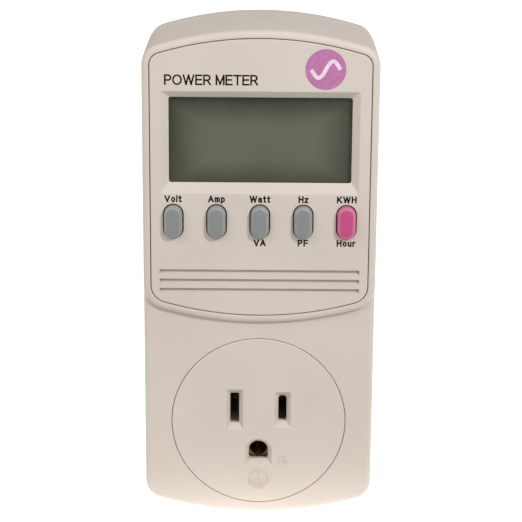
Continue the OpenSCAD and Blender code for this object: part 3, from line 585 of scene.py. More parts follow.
class Tree:
    """A geometry tree whose named inputs are set on a modifier by their identifiers."""

    def __init__(self, name, inputs):
        self.tree = bpy.data.node_groups.new(name, "GeometryNodeTree")
        self.tree.interface.new_socket("Geometry", in_out="INPUT", socket_type="NodeSocketGeometry")
        for label, kind in inputs:
            self.tree.interface.new_socket(label, in_out="INPUT", socket_type=kind)
        self.tree.interface.new_socket("Geometry", in_out="OUTPUT", socket_type="NodeSocketGeometry")
        self.given = self.tree.nodes.new("NodeGroupInput")
        self.out = self.tree.nodes.new("NodeGroupOutput")

    def add(self, kind, setup=None, **sockets):
        """Adds a node, sets its properties, and fills its inputs with numbers or links."""
        made = self.tree.nodes.new(kind)
        for name, value in (setup or {}).items():
            setattr(made, name, value)
        for name, value in sockets.items():
            target = made.inputs[name.replace("_", " ")]
            if isinstance(value, bpy.types.NodeSocket):
                self.tree.links.new(value, target)
            else:
                target.default_value = value
        return made

    def xyz(self, x=0.0, y=0.0, z=0.0):
        """A vector of numbers or links."""
        return self.add("ShaderNodeCombineXYZ", X=x, Y=y, Z=z).outputs[0]

    def times(self, value, by=0.5):
        """A value times a number, or half of it."""
        return sums(self.tree, "MULTIPLY", value, by)

    def end(self, geometry, material):
        """Ends the tree in real geometry with its material."""
        real = self.add("GeometryNodeRealizeInstances", Geometry=geometry)
        painted = self.add("GeometryNodeSetMaterial", Geometry=real.outputs[0], Material=material)
        self.tree.links.new(painted.outputs[0], self.out.inputs[0])

    def make(self, name, points, values):
        """Runs the tree on a mesh of points and gives back a plain mesh object."""
        mesh = bpy.data.meshes.new(name)
        mesh.from_pydata(points, [], [])
        thing = bpy.data.objects.new(name, mesh)
        bpy.context.scene.collection.objects.link(thing)
        run = thing.modifiers.new("make", "NODES")
        run.node_group = self.tree
        ids = {s.name: s.identifier for s in self.tree.interface.items_tree if s.in_out == "INPUT"}
        for label, value in values.items():
            run[ids[label]] = value
        return baked(thing)


def screw_tree():
    """A screw with a cross recess at each point: head towards +Y, shank towards -Y."""
    number = "NodeSocketFloat"
    names = ("Head Radius", "Head Thickness", "Shank Radius", "Shank Length",
             "Recess Length", "Recess Width", "Recess Depth")
    t = Tree("screws", [(n, number) for n in names] + [("Finish", "NodeSocketMaterial")])
    given = t.given.outputs
    head = t.add("GeometryNodeMeshCylinder", Vertices=48, Radius=given["Head Radius"],
                 Depth=given["Head Thickness"])
    recess = []
    for length, width in (("Recess Length", "Recess Width"), ("Recess Width", "Recess Length")):
        size = t.xyz(given[length], given[width], t.times(given["Recess Depth"], 2.0))
        bar = t.add("GeometryNodeMeshCube", Size=size)
        lift = t.xyz(z=t.times(given["Head Thickness"]))
        recess.append(t.add("GeometryNodeTransform", Geometry=bar.outputs[0], Translation=lift))
    cross = t.add("GeometryNodeMeshBoolean", {"operation": "UNION", "solver": "EXACT"})
    for bar in recess:
        t.tree.links.new(bar.outputs[0], cross.inputs["Mesh 2"])
    cut = t.add("GeometryNodeMeshBoolean", {"operation": "DIFFERENCE", "solver": "EXACT"})
    t.tree.links.new(head.outputs[0], cut.inputs["Mesh 1"])
    t.tree.links.new(cross.outputs[0], cut.inputs["Mesh 2"])
    shank = t.add("GeometryNodeMeshCylinder", Vertices=32, Radius=given["Shank Radius"],
                  Depth=given["Shank Length"])
    drop = t.times(sums(t.tree, "ADD", given["Shank Length"], given["Head Thickness"]), -0.5)
    shank = t.add("GeometryNodeTransform", Geometry=shank.outputs[0], Translation=t.xyz(z=drop))
    both = t.add("GeometryNodeJoinGeometry")
    t.tree.links.new(cut.outputs[0], both.inputs[0])
    t.tree.links.new(shank.outputs[0], both.inputs[0])
    turned = t.add("GeometryNodeTransform", Geometry=both.outputs[0], Rotation=(-math.pi / 2, 0.0, 0.0))
    placed = t.add("GeometryNodeInstanceOnPoints", Points=given["Geometry"], Instance=turned.outputs[0])
    t.end(placed.outputs[0], given["Finish"])
    return t


def bar_tree():
    """A row of bars along X, one above another, with an uneven section."""
    names = ("Pitch", "Length", "Mouth Width", "Root Width", "Root Lift", "Depth", "Corner")
    inputs = [("Count", "NodeSocketInt")] + [(n, "NodeSocketFloat") for n in names]
    t = Tree("row_of_bars", inputs + [("Finish", "NodeSocketMaterial")])
    given = t.given.outputs
    rows = t.add("GeometryNodeMeshLine", Count=given["Count"], Offset=t.xyz(z=given["Pitch"]))
    half = t.times(given["Length"])
    path = t.add("GeometryNodeCurvePrimitiveLine", Start=t.xyz(x=t.times(given["Length"], -0.5)),
                 End=t.xyz(x=half))
    section = t.add("GeometryNodeCurvePrimitiveQuadrilateral", {"mode": "TRAPEZOID"},
                    Bottom_Width=given["Mouth Width"], Top_Width=given["Root Width"],
                    Height=given["Depth"], Offset=t.times(given["Root Lift"], -1.0))
    soft = t.add("GeometryNodeFilletCurve", {"mode": "POLY"}, Curve=section.outputs[0],
                 Radius=given["Corner"], Count=4, Limit_Radius=True)
    swept = t.add("GeometryNodeCurveToMesh", Curve=path.outputs[0], Profile_Curve=soft.outputs[0],
                  Fill_Caps=True)
    faced = t.add("GeometryNodeTransform", Geometry=swept.outputs[0], Rotation=(math.pi / 2, 0.0, 0.0))
    each = t.add("GeometryNodeInstanceOnPoints", Points=rows.outputs[0], Instance=faced.outputs[0])
    placed = t.add("GeometryNodeInstanceOnPoints", Points=given["Geometry"], Instance=each.outputs[0])
    t.end(placed.outputs[0], given["Finish"])
    return t


# ---- Sizes and colours ----

def millimetres(label, value, description):
    """A length that a user may change, in millimetres."""
    return bpy.props.FloatProperty(name=label, description=description, default=value, min=0.0)


def strength(label, value, description, unit="NONE"):
    """A strength or a power that a user may change."""
    return bpy.props.FloatProperty(name=label, description=description, default=value, min=0.0, unit=unit)


def colour(label, value, description):
    """A colour that a user may change."""
    return bpy.props.FloatVectorProperty(name=label, description=description, default=value,
                                         subtype="COLOR", size=3, min=0.0, max=1.0)


class MeterSizes(bpy.types.PropertyGroup):
    """Sizes of the shells and of the fascia panel."""
    width: millimetres("Width", 60.3, "Width of the housing at its front edge, in mm")
    end_r: millimetres("End radius", 91.6, "Radius of the arched ends, in mm")
    corner_r: millimetres("Corner radius", 5.3, "Radius of the four corners, in mm")
    edge_r: millimetres("Edge radius", 1.5, "Radius of the rounded front edges, in mm")
    back_edge_r: millimetres("Back edge radius", 1.0, "Radius of the edge at the wall, in mm")
    draft: millimetres("Draft", DRAFT, "Growth of each side from the front to the parting line, in mm")
    wall: millimetres("Wall", 2.2, "Thickness of the moulded walls, in mm")
    rim: millimetres("Rim", 2.15, "Width of the rim beside the panel, in mm")
    bead: millimetres("Bead", 2.3, "Width of the bead below the panel, in mm")
    panel_top_r: millimetres("Upper corners", 3.1, "Radius of the panel's upper corners, in mm")
    panel_low_r: millimetres("Lower corners", 4.5, "Radius of the panel's lower corners, in mm")
    panel_end_r: millimetres("Lower arch", 90.0, "Radius of the panel's lower edge, in mm")
    seam: millimetres("Seam", 0.20, "Gap between the panel and the housing, in mm")


class MeterWindow(bpy.types.PropertyGroup):
    """Sizes of the display window and the grooves."""
    width: millimetres("Width", 46.6, "Width of the window, in mm")
    height: millimetres("Height", 22.0, "Height of the window, in mm")
    corner: millimetres("Corner", 0.6, "Radius of the window's corners, in mm")
    bevel_side: millimetres("Side bevel", 1.8, "Width of the bevel at the sides, in mm")
    bevel_top: millimetres("Top bevel", 1.6, "Width of the bevel above, in mm")
    bevel_bottom: millimetres("Bottom bevel", 2.6, "Width of the bevel below, in mm")
    groove_length: millimetres("Groove length", 51.6, "Length of the grooves, in mm")
    groove_width: millimetres("Groove width", 1.30, "Width of the grooves at the face, in mm")
    groove_depth: millimetres("Groove depth", 1.1, "Depth of the grooves, in mm")
    groove_pitch: millimetres("Groove pitch", 2.5, "Distance between the grooves, in mm")
    grooves: bpy.props.IntProperty(name="Grooves", description="How many grooves", default=3, min=1)


class MeterOutlet(bpy.types.PropertyGroup):
    """Sizes of the round outlet insert and its openings."""
    radius: millimetres("Radius", 22.95, "Radius of the insert, in mm")
    gap: millimetres("Gap", 0.12, "Gap around the insert, in mm")
    neutral_w: millimetres("Neutral width", 2.4, "Width of the neutral slot, in mm")
    neutral_h: millimetres("Neutral height", 8.4, "Height of the neutral slot, in mm")
    line_w: millimetres("Line width", 2.2, "Width of the line slot, in mm")
    line_h: millimetres("Line height", 7.1, "Height of the line slot, in mm")
    ground_r: millimetres("Ground radius", 2.55, "Radius of the ground hole, in mm")
    lead_in: millimetres("Side lead-in", 0.95, "Width of the lead-in beside the slots, in mm")
    lead_in_end: millimetres("End lead-in", 1.3, "Width of the lead-in above and below, in mm")
    lead_in_depth: millimetres("Lead-in depth", 1.6, "Depth of the lead-in, in mm")


class MeterColours(bpy.types.PropertyGroup):
    """Colours of what shows from outside."""
    housing: colour("Housing", (0.665, 0.585, 0.515), "Plastic of both shells")
    panel: colour("Panel", (0.665, 0.590, 0.520), "Plastic of the fascia panel and the insert")
    key: colour("Keys", (0.235, 0.243, 0.243), "Middle of the four grey keys")
    # painted highlight: paler colour painted on the grey keys' shoulders
    key_shoulder_highlight: colour("Key rims", (0.310, 0.318, 0.312), "Shoulders of the grey keys")
    energy_key: colour("Energy key", (0.540, 0.054, 0.200), "Middle of the energy key")
    # painted highlight: paler colour painted on the energy key's shoulders
    energy_key_shoulder_highlight: colour("Energy key rim", (0.600, 0.170, 0.300), "Shoulders of the energy key")
    display: colour("Display", (0.285, 0.305, 0.210), "Middle of the display")
    # painted shade: the darker colour the display takes towards its edges, where the window's rim shades it
    display_edge_shade: colour("Display edge", (0.056, 0.060, 0.032), "Edges of the display")
    display_strip: colour("Display strip", (0.190, 0.165, 0.085), "Edge strip below the display")
    lens: colour("Lens", (0.050, 0.052, 0.036), "Tint of the clear lens")
    ink: colour("Ink", (0.004, 0.003, 0.003), "Black printing")
    badge: colour("Badge", (0.500, 0.190, 0.395), "Printed round badge")
    badge_line: colour("Badge line", (0.870, 0.660, 0.780), "Wave printed on the badge")
    floor: colour("Floor", (0.930, 0.930, 0.930), "Studio floor")


class MeterStage(bpy.types.PropertyGroup):
    """Light and camera."""
    lens_mm: bpy.props.FloatProperty(name="Lens", description="Focal length on a 36 mm sensor, in mm",
                                     default=119.41, min=10.0)
    world: strength("Surroundings", 0.47, "Strength of the even light")
    main_watts: strength("Main lamp", 3.75, "Power of the right-hand lamp", "POWER")
    fill_watts: strength("Fill lamp", 2.0, "Power of the left-hand lamp", "POWER")
    glow: strength("Floor glow", 0.9, "How much the floor lights itself")


# ---- Pieces ----

class METER_OT_front_shell(bpy.types.Operator):
    """Make the front housing with its raised display area, bead and openings"""
    bl_idname = "meter.front_shell"
    bl_label = "Front housing"

    def execute(self, context):
        sizes = context.scene.meter_sizes
        outlet = context.scene.meter_outlet
        rings = rounded_front(lambda g: body_outline(sizes, g), Y_FACE, sizes.edge_r)
        rings.append((Y_PART - PART_DEPTH, body_outline(sizes, -sizes.draft)))
        rings.append((Y_PART, body_outline(sizes, PART_INSET - sizes.draft)))
        shell = as_solid("front_shell", loft(rings))
        rings = rounded_front(lambda g: raised_outline(sizes, g), Y_RAISED, sizes.edge_r, 0.05)
        rings.append((Y_FACE + 3.0, raised_outline(sizes, 0.0)))
        combine(shell, [loft(rings)], "UNION")
        tools = [
            slab(Y_INSIDE, Y_PART + OVER, body_outline(sizes, sizes.wall)),
            slab(Y_PART - 2.2, Y_PART + OVER, body_outline(sizes, sizes.wall / 2 - sizes.draft)),
            loft(flared(lambda g: panel_outline(sizes, g - sizes.seam), Y_RAISED, Y_POCKET, 0.2)),
            loft(flared(lambda g: moved(ring(outlet.radius + outlet.gap - g, 192), 0, Z_SOCKET),
                        Y_FACE, Y_INSIDE + OVER, 0.25)),
            slab(Y_POCKET - OVER, Y_INSIDE + OVER, moved(rounded(*WINDOW_CUTOUT, 0.5), 0, Z_WINDOW)),
        ]
        for name in KEYS:
            x = middle(name + "_key")[0]
            hole = moved(obround(*HOUSING_KEY_HOLE, 12), x, Z_KEYS)
            tools.append(slab(Y_POCKET - OVER, Y_INSIDE + OVER, hole))
        combine(shell, tools)
        settle(shell, finish_for("housing"), stands_for=["front_housing"])
        return {"FINISHED"}


class METER_OT_back_cover(bpy.types.Operator):
    """Make the rear cover with its screw pockets, prong openings and label recess"""
    bl_idname = "meter.back_cover"
    bl_label = "Rear cover"

    def execute(self, context):
        sizes = context.scene.meter_sizes
        foot = COVER_TAPER - sizes.draft
        r = sizes.back_edge_r
        rings = [(Y_PART, body_outline(sizes, PART_INSET - sizes.draft)),
                 (Y_PART + PART_DEPTH, body_outline(sizes, -sizes.draft))]
        for i in range(7):
            a = math.pi / 2 * i / 6
            rings.append((-r * (1 - math.sin(a)), body_outline(sizes, foot + r * (1 - math.cos(a)))))
        cover = as_solid("back_cover", loft(rings))
        tongue = body_outline(sizes, sizes.wall / 2 - sizes.draft + 0.05)
        combine(cover, [slab(Y_PART - 2, Y_PART + OVER, tongue)], "UNION")
        combine(cover, [slab(Y_PART - 3, -sizes.wall, body_outline(sizes, sizes.wall))])
        bosses = [lathe([(BOSS_R, Y_PART - 2), (BOSS_R, -1)], x, z, 48) for x, z in screw_places()]
        combine(cover, bosses, "UNION")
        tools = []
        for x, z in screw_places():
            tools.append(self.pocket(POCKET_R, POCKET_DEPTH, 0.3, 0.3, x, z))
            tools.append(lathe([(SCREW_HOLE_R, Y_PART - 3), (SCREW_HOLE_R, -5.0)], x, z, 48))
        for name in ("line_blade", "neutral_blade"):
            x = middle(name)[0]
            hole = moved(rounded(*BLADE_HOLE, 0.1), x, 0)
            mouth = moved(rounded(*(size + 0.5 for size in BLADE_HOLE), 0.2), x, 0)
            tools.append(slab(-4, -0.25, hole))
            tools.append(loft([(-0.26, hole), (0.0, mouth), (OVER, mouth)]))
        tools.append(self.pocket(PIN_HOLE_R, 4.0, 0.25, 0.27, 0, Z_GROUND_PIN))
        label = span("rating_label")
        recess = moved(rounded(label[0] + 0.6, label[2] + 0.6, 1.8), 0, middle("rating_label")[2])
        tools.append(slab(-0.25, OVER, recess))
        combine(cover, tools)
        settle(cover, finish_for("housing"), stands_for=["rear_cover"])
        return {"FINISHED"}

    @staticmethod
    def pocket(r, depth, lip, flare, x, z):
        """A round cutter from the wall's plane, with its mouth opened by flare over lip."""
        return lathe([(r, -depth), (r, -lip), (r + flare, 0.0), (r + flare, OVER)], x, z, 64)


def screw_places():
    """Where the four housing screws go, in X and Z."""
    lo = low("housing_screws")
    hi = high("housing_screws")
    return [(x, z) for x in (lo[0] + HEAD_R, hi[0] - HEAD_R) for z in (lo[2] + HEAD_R, hi[2] - HEAD_R)]


class METER_OT_fascia(bpy.types.Operator):
    """Make the fascia panel with its bevelled window, key holes and grooves"""
    bl_idname = "meter.fascia"
    bl_label = "Fascia panel"

    def execute(self, context):
        sizes = context.scene.meter_sizes
        window = context.scene.meter_window
        rings = rounded_front(lambda g: panel_outline(sizes, g), Y_RAISED, 0.3, steps=5)
        rings.append((Y_POCKET, panel_outline(sizes, 0)))
        panel = as_solid("fascia", loft(rings))
        opening = moved(rounded(window.width, window.height, window.corner), 0, Z_WINDOW)
        lens = span("display_lens")
        tools = [
            slab(Y_LENS - 0.4, Y_POCKET + OVER, opening),
            bevelled(Y_RAISED, self.bevel(window, 0.5, 0.6), self.bevel(window, 0.0, 0.5), Y_LENS, opening),
            slab(Y_LENS, Y_POCKET + OVER, moved(rounded(lens[0] + 0.2, lens[2] + 0.2, 0.3), 0, Z_WINDOW)),
        ]
        for name in KEYS:
            x = middle(name + "_key")[0]
            shape = lambda g, x=x: moved(obround(*(size - 2 * g for size in PANEL_KEY_HOLE)), x, Z_KEYS)
            tools.append(loft(flared(shape, Y_RAISED, Y_POCKET + OVER, 0.08)))
        combine(panel, tools)
        place = (0, Y_RAISED + window.groove_depth / 2 - 0.05, self.lowest(window))
        combine(panel, [bar_tree().make("grooves", [place], {
            "Count": window.grooves, "Pitch": window.groove_pitch, "Length": window.groove_length,
            "Mouth Width": window.groove_width, "Root Width": 0.66, "Root Lift": 0.24,
            "Depth": window.groove_depth + 0.1, "Corner": 0.12, "Finish": finish_for("panel")})])
        settle(panel, finish_for("panel"), stands_for=["front_panel"])
        return {"FINISHED"}

    @staticmethod
    def bevel(window, grow, corner):
        """The outer edge of the window's bevel, grow wider and higher."""
        width = window.width + 2 * window.bevel_side + grow
        height = window.height + window.bevel_top + window.bevel_bottom + grow
        shift = (window.bevel_top - window.bevel_bottom) / 2
        return moved(rounded(width, height, corner), 0, Z_WINDOW + shift)

    @staticmethod
    def lowest(window):
        """Height of the lowest groove."""
        return Z_TOP - GROOVES_DROP - window.groove_pitch * (window.grooves - 1) / 2


class METER_OT_display(bpy.types.Operator):
    """Make the clear lens in front of the display"""
    bl_idname = "meter.display"
    bl_label = "Display"

    def execute(self, context):
        size = span("display_lens")
        hi = high("display_lens")
        shape = lambda g: moved(rounded(size[0] - 2 * g, size[2] - 2 * g, 1.0 - g), 0, Z_WINDOW)
        rings = rounded_front(shape, Y_LENS, 0.15, steps=3)
        rings.append((hi[1], shape(0)))
        lens = as_solid("display_window", loft(rings))
        settle(lens, finish_for("lens"), stands_for=["display_lens"])
        return {"FINISHED"}


class METER_OT_keys(bpy.types.Operator):
    """Make the five keys, each on the body that slides"""
    bl_idname = "meter.keys"
    bl_label = "Keys"

    def execute(self, context):
        for name in KEYS:
            node = name + "_key"
            x = middle(node)[0]
            tip = low(node)[1]
            back = high(node)[1]
            shape = lambda g, x=x: moved(obround(*(size - 2 * g for size in KEY_SIZE)), x, Z_KEYS)
            shoulder = 1.05
            rings = [(tip, shape(2.2)), (tip + 0.02, shape(1.8)), (tip + 0.05, shape(1.4))]
            for i in range(1, 11):
                a = math.pi / 2 * (1 - i / 10)
                rings.append((tip + 0.06 + shoulder * (1 - math.sin(a)), shape(shoulder * (1 - math.cos(a)))))
            rings.append((back - 1.2, shape(0)))
            cap = as_solid(name + "_cap", loft(rings))
            flange = moved(obround(span(node)[0], span(node)[2]), x, Z_KEYS)
            combine(cap, [slab(back - 1.2, back, flange)], "UNION")
            kind = "energy_button" if name == "energy" else "grey_button"
            settle(cap, finish_for(kind), body=name + "_button", stands_for=[node])
        return {"FINISHED"}


class METER_OT_outlet(bpy.types.Operator):
    """Make the round outlet insert with its slots, ground hole and contact chambers"""
    bl_idname = "meter.outlet"
    bl_label = "Outlet insert"

    def execute(self, context):
        o = context.scene.meter_outlet
        back = high("socket_insert")[1]
        plate = Y_FACE + PLATE_T
        x = middle("line_contact")[0]
        rings = rounded_front(lambda g: moved(ring(o.radius - g, 192), 0, Z_SOCKET), Y_FACE, 0.35, steps=5)
        rings.append((plate, moved(ring(o.radius, 192), 0, Z_SOCKET)))
        insert = as_solid("outlet_insert", loft(rings))
        chambers = [slab(plate - OVER, back, moved(rounded(*CHAMBER_OUTSIDE, 0.4), s * x, Z_SLOTS))
                    for s in (-1, 1)]
        tube = GROUND_CHAMBER_OUTSIDE_R
        chambers.append(lathe([(tube, plate - OVER), (tube, back)], 0, Z_GROUND_HOLE, 64))
        low_z = low("socket_insert")[2]
        flange = moved(rounded(FLANGE_W, 2 * (Z_SOCKET - low_z), 1.0), 0, Z_SOCKET)
        combine(insert, [slab(Y_INSIDE, plate + 0.8, flange)] + chambers, "UNION")
        tools = [slab(plate, back + OVER, moved(rounded(*CHAMBER_INSIDE, 0.3), s * x, Z_SLOTS))
                 for s in (-1, 1)]
        bore = GROUND_CHAMBER_INSIDE_R
        tools.append(lathe([(bore, plate), (bore, back + OVER)], 0, Z_GROUND_HOLE, 64))
        slots = ((-1, o.neutral_w, o.neutral_h, 0.35, 0.35), (1, o.line_w, o.line_h, 0.85, 0.4))
        for s, w, h, top, below in slots:
            mouth_w = w + 2 * o.lead_in
            mouth_h = h + 2 * o.lead_in_end
            tools += self.opening(o, plate, moved(rounded(w, h, top, below), s * x, Z_SLOTS),
                                  moved(rounded(mouth_w, mouth_h, 0.25), s * x, Z_SLOTS),
                                  moved(rounded(mouth_w + 0.3, mouth_h + 0.3, 0.3), s * x, Z_SLOTS))
        mouth_r = o.ground_r + o.lead_in
        tools += self.opening(o, plate, *(moved(ground_shape(r), 0, Z_GROUND_HOLE)
                                          for r in (o.ground_r, mouth_r, mouth_r + 0.15)))
        combine(insert, tools)
        settle(insert, finish_for("panel"), stands_for=["socket_insert"])
        return {"FINISHED"}

    @staticmethod
    def opening(o, plate, hole, mouth, wide):
        """The two cutters of one opening: the hole through the plate and its lead-in."""
        return [slab(Y_FACE + 0.5, plate + OVER, hole),
                bevelled(Y_FACE, wide, mouth, Y_FACE + o.lead_in_depth, hole)]


def strokes(name, paths, width, thick, y):
    """Raised rounded lines through lists of points in X and Z; a list that ends where it starts is closed."""
    line = bpy.data.curves.new(name, "CURVE")
    line.dimensions = "3D"
    for points in paths:
        closed = len(points) > 3 and math.dist(points[0], points[-1]) < 0.001
        kept = points[:-1] if closed else points
        path = line.splines.new("POLY")
        path.points.add(len(kept) - 1)
        for point, (x, z) in zip(path.points, kept):
            point.co = (x, z, 0, 1)
        path.use_cyclic_u = closed
    line.bevel_depth = width / 2
    line.bevel_resolution = 2
    line.use_fill_caps = True
    thing = bpy.data.objects.new(name, line)
    bpy.context.scene.collection.objects.link(thing)
    plain = baked(thing)
    flatten = Matrix.Diagonal((1, 1, 2 * thick / width, 1))
    plain.data.transform(Matrix.Translation((0, y, 0)) @ Matrix.Rotation(math.pi / 2, 4, "X") @ flatten)
    return plain


class METER_OT_earth_mark(bpy.types.Operator):
    """Make the raised earth symbol and the letter beside the ground hole"""
    bl_idname = "meter.earth_mark"
    bl_label = "Earth mark"

    def execute(self, context):
        z = Z_GROUND_HOLE - 7.9
        x = 0.15
        paths = [moved(ring(2.62, 64) + ring(2.62, 64)[:1], x, z), [(x, z + 2.5), (x, z - 0.5)]]
        for half, drop in ((2.2, 0.55), (1.5, 1.2), (0.8, 1.8)):
            paths.append([(x - half, z - drop), (x + half, z - drop)])
        letter = [(px, pz * 1.25) for px, pz in arc(0, 0, 1.1, 45, 315, 24)]
        paths.append(moved(letter + [(0.85, -0.15), (0.15, -0.15)], 6.6, Z_GROUND_HOLE - 2.35))
        mark = strokes("earth_mark", paths, 0.40, 0.3, Y_FACE + 0.04)
        settle(mark, finish_for("panel"), flat=False)
        return {"FINISHED"}


def bow(cx, cz, rx, rz, a0, a1, steps=14):
    """Points of a bow of a letter."""
    return [(cx + rx * x, cz + rz * z) for x, z in arc(0, 0, 1, a0, a1, steps)]


def letters():
    """Each letter's width and its strokes, for capitals 1 high."""
    bowl = [(0, 1), (0.36, 1)] + bow(0.36, 0.73, 0.28, 0.27, 90, -90) + [(0, 0.46)]
    arch = [(0, 0.4)] + bow(0.17, 0.5, 0.17, 0.2, 160, 0) + [(0.34, 0)]
    hook = [(0.14, 0.97), (0.14, 0.16), (0.17, 0.05), (0.24, 0.01), (0.33, 0.02)]
    return {
        "A": (0.78, [[(0, 0), (0.39, 1), (0.78, 0)], [(0.14, 0.33), (0.64, 0.33)]]),
        "E": (0.62, [[(0.62, 0), (0, 0), (0, 1), (0.62, 1)], [(0, 0.52), (0.56, 0.52)]]),
        "F": (0.58, [[(0, 0), (0, 1), (0.58, 1)], [(0, 0.52), (0.5, 0.52)]]),
        "H": (0.66, [[(0, 0), (0, 1)], [(0, 0.52), (0.66, 0.52)], [(0.66, 0), (0.66, 1)]]),
        "K": (0.68, [[(0, 0), (0, 1)], [(0.64, 1), (0, 0.36)], [(0.22, 0.58), (0.68, 0)]]),
        "M": (0.82, [[(0, 0), (0, 1), (0.41, 0.05), (0.82, 1), (0.82, 0)]]),
        "O": (0.9, [bow(0.45, 0.5, 0.45, 0.5, 0, 360, 32)]),
        "P": (0.64, [[(0, 0), (0, 1)], bowl]),
        "R": (0.7, [[(0, 0), (0, 1)], bowl, [(0.36, 0.46), (0.68, 0)]]),
        "T": (0.72, [[(0, 1), (0.72, 1)], [(0.36, 1), (0.36, 0)]]),
        "V": (0.76, [[(0, 1), (0.38, 0), (0.76, 1)]]),
        "W": (1.12, [[(0, 1), (0.28, 0), (0.56, 1), (0.84, 0), (1.12, 1)]]),
        "a": (0.46, [bow(0.23, 0.5, 0.21, 0.22, 160, 0) + [(0.44, 0.06), (0.47, 0)],
                     [(0.44, 0.42), (0.2, 0.38)] + bow(0.19, 0.19, 0.19, 0.19, 90, 300)
                     + [(0.36, 0.06), (0.44, 0.2)]]),
        "l": (0.0, [[(0, 0), (0, 1)]]),
        "m": (0.68, [[(0, 0), (0, 0.72)], arch, moved(arch, 0.34, 0)]),
        "o": (0.5, [bow(0.25, 0.36, 0.25, 0.36, 0, 360, 24)]),
        "p": (0.48, [[(0, -0.28), (0, 0.72)], bow(0.24, 0.36, 0.24, 0.36, 0, 360, 24)]),
        "r": (0.28, [[(0, 0), (0, 0.72)], [(0, 0.42)] + bow(0.26, 0.45, 0.24, 0.25, 160, 80, 6)]),
        "t": (0.32, [hook, [(0, 0.7), (0.32, 0.7)]]),
        "u": (0.44, [[(0, 0.72), (0, 0.22)] + bow(0.2, 0.2, 0.2, 0.2, 180, 330, 8) + [(0.44, 0.2)],
                     [(0.44, 0), (0.44, 0.72)]]),
        "z": (0.42, [[(0, 0.7), (0.42, 0.7), (0, 0), (0.42, 0)]]),
        " ": (0.14, []),
    }


def square_ended(points, reach):
    """A polyline split at its sharp corners, with each stretch reach longer at both ends."""
    stretches = [[points[0]]]
    for i in range(1, len(points)):
        stretches[-1].append(points[i])
        if i + 1 < len(points):
            before = Vector(points[i]) - Vector(points[i - 1])
            after = Vector(points[i + 1]) - Vector(points[i])
            if before.angle(after, 0.0) > 0.6:
                stretches.append([points[i]])
    longer = []
    for stretch in stretches:
        first, last = Vector(stretch[0]), Vector(stretch[-1])
        first = first + (first - Vector(stretch[1])).normalized() * reach
        last = last + (last - Vector(stretch[-2])).normalized() * reach
        longer.append([tuple(first)] + stretch[1:-1] + [tuple(last)])
    return longer


def lettering(words, x, z, cap, weight, gap, align=0.5):
    """Strokes of a word whose letters are cap millimetres high, from the baseline at z."""
    shapes = letters()
    size = cap - weight
    length = sum(shapes[c][0] * size for c in words) + gap * (len(words) - 1)
    pen = x - align * length + (weight / 2 if align == 0 else 0)
    paths = []
    for c in words:
        width, lines = shapes[c]
        for line in lines:
            placed = [(pen + px * size, z + weight / 2 + pz * size) for px, pz in line]
            closed = len(placed) > 3 and math.dist(placed[0], placed[-1]) < 0.001
            paths += [placed] if closed else square_ended(placed, weight / 2)
        pen += width * size + gap
    return paths


class METER_OT_printing(bpy.types.Operator):
    """Print the plain title and the unit names on the fascia panel"""
    bl_idname = "meter.printing"
    bl_label = "Printing"

    def execute(self, context):
        colours = context.scene.meter_colours
        above = (("Volt", "volt"), ("Amp", "amp"), ("Watt", "watt"), ("Hz", "hertz"), ("KWH", "energy"))
        below = (("VA", "watt"), ("PF", "hertz"), ("Hour", "energy"))
        ink = ink_finish("black_ink", colours.ink)
        gap = 0.60
        title_weight = 0.43
        title = lettering("POWER METER", -24.3, 26.25, 2.7, title_weight, gap, 0)
        settle(strokes("title", title, title_weight, INK_T, Y_RAISED), ink, flat=False)
        cap = 1.8
        weight = 0.39
        paths = []
        for z, labels in ((-3.95, above), (-15.45, below)):
            for text, key in labels:
                paths += lettering(text, middle(key + "_key")[0], z, cap, weight, gap)
        settle(strokes("unit_names", paths, weight, INK_T, Y_RAISED), ink, flat=False)
        return {"FINISHED"}


class METER_OT_badge(bpy.types.Operator):
    """Print a plain round badge with a wave on the fascia panel"""
    bl_idname = "meter.badge"
    bl_label = "Badge"

    def execute(self, context):
        colours = context.scene.meter_colours
        x = 16.3
        z = 30.4
        r = 5.15
        disc = as_solid("badge_disc", slab(Y_RAISED - INK_T, Y_RAISED + 0.02, moved(ring(r, 96), x, z)))
        settle(disc, ink_finish("badge_ink", colours.badge), flat=False)
        wave = [(x + t / 11, z + 2.1 * math.sin(math.pi * t / 40)) for t in range(-40, 41)]
        mark = strokes("badge_wave", [wave], 1.0, INK_T, Y_RAISED - INK_T)
        settle(mark, ink_finish("badge_line_ink", colours.badge_line), flat=False)
        return {"FINISHED"}


def refined(node, edge, body="meter"):
    """A copy of a CAD node with its corners slightly rounded."""
    source = frame["nodes"][node]
    bm = bmesh.new()
    bm.from_mesh(source.data)
    bmesh.ops.scale(bm, vec=(MM, MM, MM), verts=bm.verts)
    bmesh.ops.remove_doubles(bm, verts=bm.verts, dist=0.002)
    thing = as_solid(node + "_finished", bm)
    slot = next(p["material_slot"] for p in frame["record"]["subparts"] if p["node"] == node)
    settle(thing, finish_for(slot), body, [node], sharp=40.0, edge=edge)


class METER_OT_prongs(bpy.types.Operator):
    """Make the two blades and the ground pin"""
    bl_idname = "meter.prongs"
    bl_label = "Prongs"

    def execute(self, context):
        refined("line_blade", 0.12)
        refined("neutral_blade", 0.12)
        refined("ground_pin", 0.0)
        return {"FINISHED"}


class METER_OT_screws(bpy.types.Operator):
    """Make the four housing screws"""
    bl_idname = "meter.screws"
    bl_label = "Housing screws"

    def execute(self, context):
        hi = high("housing_screws")
        lo = low("housing_screws")
        places = [(x, hi[1] - HEAD_T / 2, z) for x, z in screw_places()]
        screws = screw_tree().make("cover_screws", places, {
            "Head Radius": HEAD_R, "Head Thickness": HEAD_T, "Shank Radius": SHANK_R,
            "Shank Length": hi[1] - HEAD_T - lo[1], "Recess Length": 3.2, "Recess Width": 0.75,
            "Recess Depth": 1.2, "Finish": finish_for("screw_steel")})
        settle(screws, finish_for("screw_steel"), stands_for=["housing_screws"],
               sharp=40.0, edge=0.15)
        return {"FINISHED"}


